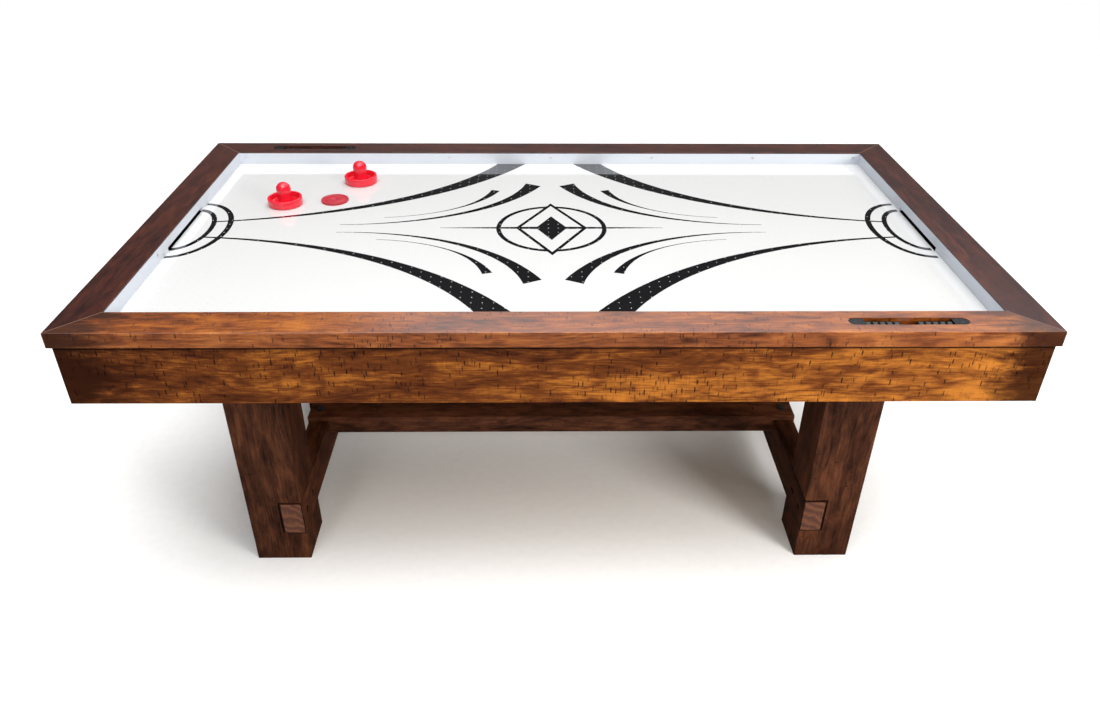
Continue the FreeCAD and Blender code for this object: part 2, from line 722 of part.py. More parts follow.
for label, side in (("stretcher_left", -1), ("stretcher_right", 1)):
    low_x = leg_inner if side > 0 else -(leg_inner + D["stretcher_width"])
    high_x = low_x + D["stretcher_width"]
    bar_body = doc.addObject("PartDesign::Body", label + "_bar")
    place(bar_body, z=D["stretcher_base"])
    outline = sketch_on(bar_body)
    draw_rectangle(outline, (low_x, -leg_front), (high_x, leg_front))
    bar = pad(bar_body, outline, D["stretcher_height"])
    round_edges(bar_body, bar, D["edge_radius"] * 0.5,
                lambda middle, edge: near(middle.y, 0) and not is_upright(edge))
    lap = sketch_on(bar_body, lift=D["stretcher_height"])
    draw_rectangle(lap, (low_x, -beam_half), (high_x, beam_half))
    pocket(bar_body, lap, stretcher_top - D["lap_base"])
    beam_hole = cylinder(D["bolt_radius"] + D["shank_clearance"], beam_bolt_depth + D["beam_height"],
                         beam_bolt_x * side, 0, beam_top, DOWN)
    node(cut(bar_body, stretcher_bores[side] + [beam_hole]), label)

beam_body = doc.addObject("PartDesign::Body", "centre_beam_bar")
place(beam_body, z=D["beam_base"])
outline = sketch_on(beam_body, "XZ_Plane", -beam_half)
beam_end = leg_inner + D["stretcher_width"] + D["fit_gap"] * 2
lap_rise = D["lap_base"] - D["beam_base"]
draw_polygon(outline, [(-leg_inner, 0), (leg_inner, 0), (leg_inner, lap_rise), (beam_end, lap_rise),
                       (beam_end, D["beam_height"]), (-beam_end, D["beam_height"]),
                       (-beam_end, lap_rise), (-leg_inner, lap_rise)])
beam_bar = pad(beam_body, outline, D["beam_width"])
round_edges(beam_body, beam_bar, D["edge_radius"],
            lambda middle, edge: near(abs(middle.y), beam_half.value) and near(middle.x, 0))
beam_bolts = []
beam_holes = []
for side in (-1, 1):
    beam_holes.append(cylinder(D["bolt_radius"] + D["shank_clearance"], D["beam_height"] + 1,
                               beam_bolt_x * side, 0, beam_top, DOWN))
    dome = doc.addObject("Part::Sphere", "dome")
    dome.setExpression("Radius", (D["bolt_head_radius"] * 1.5).text)
    dome.Angle1 = 0
    place(dome, beam_bolt_x * side, 0, beam_top)
    trimmed = cut(dome, [cylinder(D["bolt_head_radius"] * 2, D["bolt_head_height"] * 2,
                                  beam_bolt_x * side, 0, beam_top + D["bolt_head_height"] * 0.8)])
    shank = cylinder(D["bolt_radius"], beam_bolt_depth + D["beam_height"] - 2,
                     beam_bolt_x * side, 0, beam_top, DOWN)
    beam_bolts.append(fuse([trimmed, shank]))
node(cut(beam_body, beam_holes), "centre_beam")
node(group(beam_bolts), "beam_bolts")

for label, side in (("cross_member_left", -1), ("cross_member_right", 1)):
    centre_x = D["leg_centre_x"] * side
    half = D["cross_width"] / 2
    board = box((centre_x - half, -bay_y, leg_top), (centre_x + half, bay_y, cross_top))
    node(cut(board, cross_bores[side]), label)

# ---------------------------------------------------------------- blower
drum_base = base_bottom - D["drum_wall"] - D["drum_height"]
flange_half = D["flange_side"] / 2
drum = cylinder(D["drum_radius"], D["drum_height"], z=drum_base)
flange = box((-flange_half, -flange_half, base_bottom - D["drum_wall"]),
             (flange_half, flange_half, base_bottom))
drum_hollow = cylinder(D["drum_radius"] - D["drum_wall"], D["drum_height"] - D["drum_wall"],
                       z=drum_base + D["drum_wall"])
intake = cylinder(D["intake_radius"], D["drum_height"], z=drum_base - D["drum_wall"])
port = cylinder(D["blower_port_radius"], D["drum_height"], z=base_bottom - D["drum_wall"] * 2)
node(cut(fuse([drum, flange]), [drum_hollow, intake, port]), "blower_housing")

motor_base = drum_base + D["drum_wall"] * 3
motor_can = cylinder(D["motor_radius"], D["motor_height"], z=motor_base)
arms = []
ARM_WIDTH = 10
arm_reach = D["drum_radius"] - D["drum_wall"] - D["fit_gap"]
for angle in (0, 120, 240):
    arm = doc.addObject("Part::Box", "arm")
    arm.setExpression("Length", arm_reach.text)
    arm.Width = ARM_WIDTH
    arm.setExpression("Height", D["drum_wall"].text)
    spin = turned((0, 0, 1), angle)
    offset = spin.multVec(FreeCAD.Vector(0, -ARM_WIDTH / 2, 0))
    arms.append(place(arm, offset.x, offset.y, motor_base, spin))
    foot = cylinder(ARM_WIDTH / 2, motor_base - drum_base - D["drum_wall"],
                    (arm_reach - ARM_WIDTH) * round(math.cos(math.radians(angle)), 6),
                    (arm_reach - ARM_WIDTH) * round(math.sin(math.radians(angle)), 6),
                    drum_base + D["drum_wall"])
    arms.append(foot)
shaft_bore = cylinder(D["shaft_radius"] + D["shank_clearance"], D["motor_height"] * 2,
                      z=motor_base + D["motor_height"] * 0.2)
node(cut(fuse([motor_can] + arms), [shaft_bore]), "blower_motor")

impeller_base = motor_base + D["motor_height"] + D["drum_wall"]
hub_height = D["blade_height"]
impeller = new_body("blower_impeller", z=impeller_base)
disc = sketch_on(impeller)
draw_circle(disc, 0, 0, D["impeller_radius"])
draw_circle(disc, 0, 0, D["shaft_radius"])
pad(impeller, disc, D["blade_thickness"])
hub = sketch_on(impeller)
draw_circle(hub, 0, 0, D["hub_radius"])
draw_circle(hub, 0, 0, D["shaft_radius"])
pad(impeller, hub, hub_height)
blade = sketch_on(impeller)
draw_polygon(blade, [(D["impeller_eye"], 0), (D["impeller_radius"] - 2, D["impeller_eye"] * 0.2),
                     (D["impeller_radius"] - 2, D["impeller_eye"] * 0.2 + D["blade_thickness"]),
                     (D["impeller_eye"], D["blade_thickness"])])
blade_pad = pad(impeller, blade, hub_height + D["blade_thickness"])
ring = impeller.newObject("PartDesign::PolarPattern", "blades")
ring.Originals = [blade_pad]
ring.Axis = (disc, ["N_Axis"])
ring.Angle = 360
ring.setExpression("Occurrences", D["blade_count"].text)
impeller.Tip = ring

shaft_start = motor_base + D["motor_height"] * 0.2 + D["fit_gap"]
node(cylinder(D["shaft_radius"], impeller_base + hub_height - shaft_start, z=shaft_start),
     "blower_shaft")

guard_wire = D["wire_radius"] * 2
guard_z = drum_base - guard_wire
guard_reach = D["intake_radius"] * 1.25
guard = []
for share in (0.4, 0.7, 1.0, 1.25):
    ring_radius = D["intake_radius"] * share
    ring_disc = cylinder(ring_radius + D["wire_radius"], guard_wire, z=guard_z)
    ring_hole = cylinder(ring_radius - D["wire_radius"], guard_wire * 2, z=guard_z - D["wire_radius"])
    guard.append(cut(ring_disc, [ring_hole]))
for angle in (0, 45, 90, 135):
    spoke = doc.addObject("Part::Box", "spoke")
    spoke.setExpression("Length", (guard_reach * 2).text)
    spoke.setExpression("Width", guard_wire.text)
    spoke.setExpression("Height", guard_wire.text)
    spin = turned((0, 0, 1), angle)
    start = spin.multVec(FreeCAD.Vector(-guard_reach.value, -D["wire_radius"].value, 0))
    guard.append(place(spoke, start.x, start.y, guard_z, spin))
node(fuse(guard), "blower_guard")


# ---------------------------------------------------------------- switch and power inlet
def socket_shell(centre_x, cavity_depth):
    """A bezel and a tub through the back apron, open to the back."""
    half_w = D["socket_width"] / 2 - D["cap_gap"]
    half_h = D["socket_height"] / 2 - D["cap_gap"]
    z = D["socket_z"]
    margin = D["bezel_margin"]
    bezel_y = apron_y + D["bezel_thickness"]
    bezel = box((centre_x - half_w - margin, apron_y, z - half_h - margin),
                (centre_x + half_w + margin, bezel_y, z + half_h + margin))
    tub = box((centre_x - half_w, apron_y - D["socket_depth"], z - half_h),
              (centre_x + half_w, bezel_y, z + half_h))
    wall = D["socket_wall"]
    hollow = box((centre_x - half_w + wall, bezel_y - cavity_depth, z - half_h + wall),
                 (centre_x + half_w - wall, bezel_y + wall, z + half_h - wall))
    return fuse([bezel, tub]), hollow


pivot_y = apron_y - D["bezel_thickness"]
tub_half = D["socket_width"] / 2 - D["cap_gap"]
shell, hollow = socket_shell(D["switch_x"], D["socket_depth"] * 0.6)
pin_reach = tub_half - D["cap_gap"]
pivot_bore = cylinder(D["rocker_pin_radius"] + D["shank_clearance"], (pin_reach + D["cap_gap"] / 2) * 2,
                      D["switch_x"] - pin_reach - D["cap_gap"] / 2, pivot_y, D["socket_z"], OUT_RIGHT)
node(cut(shell, [hollow, pivot_bore]), "switch_housing")

rocker_rotation = turned((1, 0, 0), ROCKER_TILT)
rocker_half = D["rocker_width"] / 2
rocker_body = doc.addObject("PartDesign::Body", "switch_rocker_body")
place(rocker_body, D["switch_x"], pivot_y, D["socket_z"], rocker_rotation)
outline = sketch_on(rocker_body, "YZ_Plane", -rocker_half)
ROCKER_HALF_HEIGHT = 8.6
ROCKER_WAIST = 2.2
ROCKER_LIP = 3.6
ROCKER_HEEL = 6
draw_polygon(outline, [(-ROCKER_HEEL, -ROCKER_HALF_HEIGHT * 0.6), (ROCKER_LIP, -ROCKER_HALF_HEIGHT),
                       (ROCKER_WAIST, 0), (ROCKER_LIP, ROCKER_HALF_HEIGHT),
                       (-ROCKER_HEEL, ROCKER_HALF_HEIGHT * 0.6)])
pad(rocker_body, outline, D["rocker_width"])
pivot_pin = cylinder(D["rocker_pin_radius"], pin_reach * 2, D["switch_x"] - pin_reach, pivot_y,
                     D["socket_z"], OUT_RIGHT)
node(fuse([rocker_body, pivot_pin]), "switch_rocker")

INLET_CAVITY = 18
PIN_LENGTH = 12
PIN_WIDTH = 2
PIN_HEIGHT = 4
shell, hollow = socket_shell(D["inlet_x"], INLET_CAVITY)
node(cut(shell, [hollow]), "power_inlet")
inlet_floor = apron_y + D["bezel_thickness"] - INLET_CAVITY
blades = []
for offset_x, offset_z in ((-7, -2), (0, 2), (7, -2)):
    pin_x = D["inlet_x"] + offset_x
    pin_z = D["socket_z"] + offset_z
    blades.append(box((pin_x - PIN_WIDTH / 2, inlet_floor, pin_z - PIN_HEIGHT / 2),
                      (pin_x + PIN_WIDTH / 2, inlet_floor + PIN_LENGTH, pin_z + PIN_HEIGHT / 2)))
node(group(blades), "inlet_pins")


# ---------------------------------------------------------------- inner power lead
def lead_shape(route, radius):
    """A round lead along straight runs joined by tangent arcs, and its bend radii."""
    edges = []
    radii = []
    start = route[0]
    for corner, following in zip(route[1:-1], route[2:]):
        into = (corner - start).normalize()
        away = (following - corner).normalize()
        turn = into.getAngle(away)
        run = min((corner - start).Length, (following - corner).Length)
        setback = 0.45 * run
        bend = setback / math.tan(turn / 2)
        arc_start = corner - into * setback
        arc_end = corner + away * setback
        inside = (away - into).normalize()
        arc_middle = corner + inside * (bend / math.cos(turn / 2) - bend)
        edges.append(Part.LineSegment(start, arc_start).toShape())
        edges.append(Part.Arc(arc_start, arc_middle, arc_end).toShape())
        radii.append(bend)
        start = arc_end
    edges.append(Part.LineSegment(start, route[-1]).toShape())
    path = Part.Wire(edges)
    circle = Part.Circle(route[0], route[1] - route[0], radius)
    section = Part.Wire([circle.toShape()])
    tube = path.makePipeShell([section], True, True)
    expected = math.pi * radius ** 2 * path.Length
    if abs(tube.Volume - expected) > 0.02 * expected:
        raise RuntimeError("the lead's tube has the wrong volume")
    return tube, radii


lead_z = (base_bottom - D["lead_radius"] * 2).value
lead_start = FreeCAD.Vector(-(D["drum_radius"] + D["fit_gap"] / 2).value, 0, lead_z)
lead_end_y = (apron_y - D["socket_depth"] - D["fit_gap"]).value
LEAD_WAYPOINTS = [(-150, 5), (-205, 40), (-250, 88), (-288, 142), (-320, 200), (-347, 262),
                  (-370, 326), (-391, 390), (-408, 452)]
route = [lead_start]
for way_x, way_y in LEAD_WAYPOINTS:
    route.append(FreeCAD.Vector(way_x, way_y, lead_z))
route.append(FreeCAD.Vector(D["switch_x"].value, lead_end_y, D["socket_z"].value + 4))
tube, bend_radii = lead_shape(route, D["lead_radius"].value)
lead = doc.addObject("Part::Feature", "power_lead")
lead.Shape = tube
node(lead, "power_lead")
print("power lead radii", [round(bend) for bend in bend_radii])

clips = []
clip_half = D["clip_side"] / 2
for before, after in ((1, 2), (3, 4), (5, 6), (7, 8)):
    clip_x = length((route[before].x + route[after].x) / 2)
    clip_y = length((route[before].y + route[after].y) / 2)
    saddle = box((clip_x - clip_half, clip_y - clip_half, base_bottom - D["clip_side"]),
                 (clip_x + clip_half, clip_y + clip_half, base_bottom))
    clips.append(cut(saddle, [lead]))
node(group(clips), "lead_clips")


# ---------------------------------------------------------------- scorers
slot_y = half_width - D["rail_width"] / 2
rod_z = D["table_height"] - D["rod_depth"]
slot_floor = D["table_height"] - D["slot_depth"]
cap_radius = D["slot_width"] / 2 - D["cap_gap"]
slot_half = D["slot_length"] / 2
BEADS_A_SIDE = 5


def end_cap(rail_side, end):
    """A cap that fills one round end of a slot, bored for the rod and its screw."""
    centre_x = (D["scorer_offset"] + slot_half * end - D["slot_width"] / 2 * end) * rail_side
    inner_face = (D["scorer_offset"] + slot_half * end - D["cap_length"] * end) * rail_side
    centre_y = -slot_y * rail_side
    height = D["slot_depth"] - D["cap_drop"]
    round_end = cylinder(cap_radius, height, centre_x, centre_y, slot_floor)
    low_x, high_x = (inner_face, centre_x) if end * rail_side > 0 else (centre_x, inner_face)
    straight = box((low_x, centre_y - cap_radius, slot_floor),
                   (high_x, centre_y + cap_radius, slot_floor + height))
    away = OUT_RIGHT if end * rail_side > 0 else OUT_LEFT
    bore = cylinder(D["rod_radius"], D["rod_seat"], inner_face, centre_y, rod_z, away)
    screw_top = slot_floor + height
    recess = cylinder(D["screw_head_radius"], D["screw_head_depth"] + 1, centre_x, centre_y,
                      screw_top + 1, DOWN)
    hole = cylinder(D["screw_shank_radius"], SCORER_SCREW_LENGTH + 1, centre_x, centre_y,
                    screw_top + 1, DOWN)
    return cut(fuse([round_end, straight]), [bore, recess, hole])


def cap_screw(rail_side, end):
    centre_x = (D["scorer_offset"] + slot_half * end - D["slot_width"] / 2 * end) * rail_side
    top = slot_floor + D["slot_depth"] - D["cap_drop"]
    head = cylinder(D["screw_head_radius"], D["screw_head_depth"], centre_x, -slot_y * rail_side,
                    top, DOWN)
    shank = cylinder(D["screw_shank_radius"], SCORER_SCREW_LENGTH, centre_x, -slot_y * rail_side,
                     top, DOWN)
    return fuse([head, shank])


def bead(label, centre_x, centre_y):
    """A barrel-shaped bead on the rod: a disc with rounded rims and a bore."""
    body = doc.addObject("PartDesign::Body", label)
    place(body, centre_x, centre_y, rod_z, turned((0, 0, 1), -90))
    half = (D["bead_length"] - D["bead_gap"]) / 2
    bore = D["rod_radius"] + D["shank_clearance"]
    profile = sketch_on(body, "YZ_Plane")
    draw_rectangle(profile, (-half, bore), (half, D["bead_radius"]))
    turned_bead = body.newObject("PartDesign::Revolution", "revolution")
    turned_bead.Profile = profile
    turned_bead.ReferenceAxis = (profile, ["H_Axis"])
    turned_bead.Angle = 360
    outer = D["bead_radius"].value

    def outer_rim(middle, edge):
        rim_radius = math.hypot(middle.x, middle.z)
        return near(rim_radius, outer) and near(abs(middle.y), half.value)

    round_edges(body, turned_bead, D["bead_round"], outer_rim)
    return body


SCORER_SCREW_LENGTH = 24
caps = []
cap_screws = []
for rail_name, rail_side in (("front", 1), ("back", -1)):
    centre_y = -slot_y * rail_side
    caps += [end_cap(rail_side, -1), end_cap(rail_side, 1)]
    cap_screws += [cap_screw(rail_side, -1), cap_screw(rail_side, 1)]
    rod_half = slot_half - D["cap_length"] + D["rod_seat"] - D["fit_gap"]
    node(cylinder(D["rod_radius"], rod_half * 2, D["scorer_offset"] * rail_side - rod_half, centre_y,
                  rod_z, OUT_RIGHT), f"scorer_rod_{rail_name}")
    for side_name, side in (("left", -1), ("right", 1)):
        start = D["scorer_offset"] * rail_side + (slot_half - D["cap_length"]) * side
        stack = []
        for number in range(BEADS_A_SIDE):
            bead_x = start - (D["bead_length"] * (number + 0.5) + D["bead_gap"] / 2) * side
            label = f"bead_{rail_name}_{side_name}_{number + 1}"
            stack.append(bead(label, bead_x, centre_y))
        node(group(stack[:-1]), f"beads_{rail_name}_{side_name}_outer")
        node(stack[-1], f"bead_{rail_name}_{side_name}_inner")
node(group(caps), "scorer_caps")
node(group(cap_screws), "scorer_screws")


# ---------------------------------------------------------------- mallets and puck
DOME_STEP = 15              # degrees between the points of the knob's dome


def mallet(label, x, y):
    """A hand mallet: a ring with a trough round a domed knob, open underneath for its felt."""
    base = D["felt_proud"]
    body = new_body(label, x, y, rail_base + base)
    profile = sketch_on(body, "XZ_Plane")
    rim = D["mallet_radius"]
    rim_top = D["mallet_rim_height"] - base
    inner_rim = rim - D["mallet_rim_width"]
    recess = D["felt_thickness"] - base
    felt = D["felt_radius"] + D["shank_clearance"]
    knob = D["knob_radius"]
    shoulder = D["mallet_height"] - base - knob
    trough = D["mallet_floor"]
    dome = [(knob * math.cos(angle), shoulder + knob * math.sin(angle))
            for angle in (math.radians(DOME_STEP * step) for step in range(90 // DOME_STEP))]
    draw_polygon(profile, [(0, recess), (felt, recess), (felt, 0), (rim - 1.5, 0), (rim, 1.5),
                           (rim, rim_top - 3), (rim - 1, rim_top - 0.9), (rim - 3, rim_top),
                           (inner_rim + 1.5, rim_top), (inner_rim, rim_top - 1),
                           (inner_rim - 1.5, trough + 4), (inner_rim - 4.5, trough + 1),
                           (inner_rim - 8, trough), (knob + 7, trough),
                           (knob + 3, trough + 1.5), (knob + 0.6, trough + 6),
                           (knob - 1.5, shoulder * 0.6), *dome, (0, shoulder + knob)])
    revolve(body, profile)
    pad_disc = cylinder(D["felt_radius"], D["felt_thickness"], x, y, rail_base)
    node(pad_disc, label.replace("mallet", "mallet_felt"))


MALLET_PLACES = {"mallet_1": (-737, 176), "mallet_2": (-557, 344)}
PUCK_PLACE = (-606, 200)
for label, (mallet_x, mallet_y) in MALLET_PLACES.items():
    mallet(label, mallet_x, mallet_y)

puck = new_body("puck", *PUCK_PLACE, rail_base)
profile = sketch_on(puck, "XZ_Plane")
puck_top = D["puck_thickness"]
puck_rim = D["puck_radius"]
draw_polygon(profile, [(0, 0), (puck_rim - 0.8, 0), (puck_rim, 0.8), (puck_rim, puck_top - 0.8),
                       (puck_rim - 0.8, puck_top), (puck_rim * 0.86, puck_top),
                       (puck_rim * 0.82, puck_top - 0.6), (puck_rim * 0.74, puck_top - 0.6),
                       (puck_rim * 0.7, puck_top), (puck_rim * 0.1, puck_top),
                       (puck_rim * 0.06, puck_top - 0.5), (0, puck_top - 0.5)])
revolve(puck, profile)

# ---------------------------------------------------------------- checks and export
doc.recompute()
for obj in doc.Objects:
    if "Invalid" in obj.State or "Error" in obj.State:
        raise RuntimeError(f"{obj.Label} failed: {obj.State}")
labels = [obj.Label for obj in NODES]
if len(set(labels)) != len(labels) or len(labels) > 60:
    raise RuntimeError(f"{len(labels)} nodes, or a repeated name")
for obj in NODES:
    if obj.Shape.isNull() or not obj.Shape.isValid() or not obj.Shape.Solids:
        raise RuntimeError(f"{obj.Label} has no valid solid")

os.makedirs("parts", exist_ok=True)
for obj in NODES:
    obj.Shape.exportStep(f"parts/{obj.Label}.step")
    print(obj.Label, len(obj.Shape.Solids), "solids", round(obj.Shape.Volume / 1000), "cm3")
print(len(NODES), "nodes")
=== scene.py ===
import math

import bpy
import numpy as np
from mathutils import Matrix, Vector
from mathutils.geometry import delaunay_2d_cdt


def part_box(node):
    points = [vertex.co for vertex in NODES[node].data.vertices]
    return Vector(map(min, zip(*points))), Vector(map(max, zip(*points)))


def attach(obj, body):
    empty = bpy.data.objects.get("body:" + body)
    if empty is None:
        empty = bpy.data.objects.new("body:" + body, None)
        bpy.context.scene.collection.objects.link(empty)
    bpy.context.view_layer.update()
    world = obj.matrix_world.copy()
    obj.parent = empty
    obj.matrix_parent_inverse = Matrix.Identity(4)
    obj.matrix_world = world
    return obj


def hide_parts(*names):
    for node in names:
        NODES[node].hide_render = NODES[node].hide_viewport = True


# Looks of the air hockey table. Metres, +Z up, the origin on the floor under its middle.

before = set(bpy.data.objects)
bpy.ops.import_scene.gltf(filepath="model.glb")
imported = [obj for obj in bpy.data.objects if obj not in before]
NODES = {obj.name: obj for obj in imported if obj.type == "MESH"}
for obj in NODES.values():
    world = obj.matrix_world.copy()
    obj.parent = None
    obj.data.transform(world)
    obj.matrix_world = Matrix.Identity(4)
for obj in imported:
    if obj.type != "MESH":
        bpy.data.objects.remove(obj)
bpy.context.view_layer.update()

MM = 0.001
CEILING_LIGHT = (0.65, 1.2)  # radiance of the ceiling at the left and at the right
WALL_LIGHT, HORIZON_LIGHT = 0.04, 0.13
BACKDROP_LIGHT = 0.95  # behind the floor, and only for the camera

HALF_LENGTH, HALF_WIDTH = 1.040, 0.585  # over the rails
MITRE_LINE = HALF_LENGTH - HALF_WIDTH
RAIL_UNDERSIDE = 0.777
# The inside of the goals is painted black as shade, out to this reach and in this colour.
GOAL_SHADE_REACH = (1.0145, 0.26, 0.7875)  # how far the black inside of the goals goes in |x|, |y| and z
# A light line painted along the mitre joints as a highlight on their edge.
MITRE_HIGHLIGHT_COLOUR = (0.34, 0.19, 0.13)
GOAL_SHADE_COLOUR = (0.004, 0.004, 0.004)


# ---------------------------------------------------------------- node helpers
class Wiring:
    """Short calls that add nodes to a tree and join them up."""

    def __init__(self, tree):
        self.tree = tree

    def node(self, kind, **settings):
        made = self.tree.nodes.new("ShaderNode" + kind)
        for key, value in settings.items():
            setattr(made, key, value)
        return made

    def plug(self, value, socket):
        if isinstance(value, bpy.types.NodeSocket):
            self.tree.links.new(value, socket)
        elif value is not None:
            socket.default_value = value

    def calc(self, operation, first, second=0.0, third=None):
        """A Math node on values or other nodes' results."""
        made = self.node("Math", operation=operation)
        self.plug(first, made.inputs[0])
        self.plug(second, made.inputs[1])
        if third is not None:
            self.plug(third, made.inputs[2])
        return made.outputs[0]

    def fade(self, value, start, end, low=0.0, high=1.0):
        """low up to start, high past end, smooth between."""
        made = self.node("MapRange", interpolation_type="SMOOTHSTEP")
        self.plug(value, made.inputs[0])
        for socket, number in zip(made.inputs[1:5], (start, end, low, high)):
            self.plug(number, socket)
        return made.outputs[0]

    def parts(self, vector):
        """The three coordinates of a vector."""
        split = self.node("SeparateXYZ")
        self.plug(vector, split.inputs[0])
        return split.outputs


# ---------------------------------------------------------------- camera, light, floor
def make_camera():
    """A 28.7 mm lens in front of the table, looking down on it."""
    place = (-0.0429, -2.1137, 1.7170)
    pitch, yaw, roll = (math.radians(angle) for angle in (-32.42, -0.985, 0.403))
    data = bpy.data.cameras.new("camera")
    data.sensor_width = 36
    data.lens = 28.718
    camera = bpy.data.objects.new("camera", data)
    turn = (Matrix.Rotation(yaw, 4, "Z") @ Matrix.Rotation(math.pi / 2 + pitch, 4, "X")
            @ Matrix.Rotation(roll, 4, "Z"))
    camera.matrix_world = Matrix.Translation(place) @ turn
    bpy.context.scene.collection.objects.link(camera)
    bpy.context.scene.camera = camera


def softbox(name, place, target, size, power, colour=(1, 1, 1)):
    """A rectangular lamp at place that faces target."""
    data = bpy.data.lights.new(name, "AREA")
    data.shape = "RECTANGLE"
    data.size, data.size_y = size
    data.energy = power
    data.color = colour
    lamp = bpy.data.objects.new(name, data)
    lamp.location = place
    lamp.rotation_euler = (Vector(target) - Vector(place)).to_track_quat("-Z", "Y").to_euler()
    bpy.context.scene.collection.objects.link(lamp)
    return lamp


def make_sky():
    """A dark room with a soft bright ceiling, brighter to the right, and a faint horizon.

    The camera itself sees a pale backdrop in place of the dark walls.
    """
    world = bpy.data.worlds.new("studio")
    bpy.context.scene.world = world
    world.use_nodes = True
    nodes = Wiring(world.node_tree)
    # Each runs from -1 to 1 with the direction looked in, and up is 0 at the horizon.
    to_right, to_back, up = nodes.parts(nodes.node("TexCoord").outputs["Generated"])

    ceiling = nodes.calc("MULTIPLY", nodes.fade(up, 0.58, 0.88),
                         nodes.fade(to_right, -0.6, 0.35, *CEILING_LIGHT))
    behind = nodes.calc("MULTIPLY", nodes.fade(up, 0.0, 0.03), nodes.fade(to_back, 0.3, 0.6))
    horizon = nodes.calc("MULTIPLY", nodes.fade(up, 0.31, 0.37, HORIZON_LIGHT, 0.0), behind)
    total = nodes.calc("ADD", nodes.calc("ADD", ceiling, horizon), WALL_LIGHT)
    seen = nodes.node("LightPath").outputs["Is Camera Ray"]
    total = nodes.calc("MAXIMUM", total, nodes.calc("MULTIPLY", seen, BACKDROP_LIGHT))
    nodes.plug(total, nodes.tree.nodes["Background"].inputs["Color"])


def make_studio():
    """White paper on the floor, a soft sun over it, and softboxes in front and behind.

    Neither the key lamp nor the floor is seen in reflections, so the boards stay dark.
    """
    make_sky()
    key = softbox("key", (2.6, -2.6, 1.9), (0.6, -0.5, 0.7), (1.3, 1.3), 92, (1, 0.97, 0.92))
    key.visible_glossy = False
    softbox("fill", (-1.5, -3.2, 2.7), (-0.3, 0.1, 0.7), (0.8, 1.6), 14)
    softbox("overhead_front", (-0.6, -1.3, 3.2), (-0.5, -0.2, 0.8), (2.2, 0.8), 25)
    softbox("rim", (1.2, 3.0, 3.7), (0.4, -0.4, 0.8), (5.0, 0.8), 50, (0.92, 0.95, 1.0))
    sun = bpy.data.lights.new("overhead", "SUN")
    sun.energy = 1.75
    sun.angle = math.radians(60)
    lamp = bpy.data.objects.new("overhead", sun)
    lamp.rotation_euler = (math.radians(10), math.radians(6), 0)
    bpy.context.scene.collection.objects.link(lamp)

    reach = 14
    corners = [(-reach, -reach, 0), (reach, -reach, 0), (reach, reach, 0), (-reach, reach, 0)]
    mesh = bpy.data.meshes.new("floor")
    mesh.from_pydata(corners, [], [(0, 1, 2, 3)])
    floor = bpy.data.objects.new("floor", mesh)
    bpy.context.scene.collection.objects.link(floor)
    mesh.materials.append(plain("floor_paper", (0.96, 0.96, 0.96), 0.9, Specular_IOR_Level=0.05))
    floor.visible_glossy = False
    bpy.context.scene.view_settings.view_transform = "Standard"


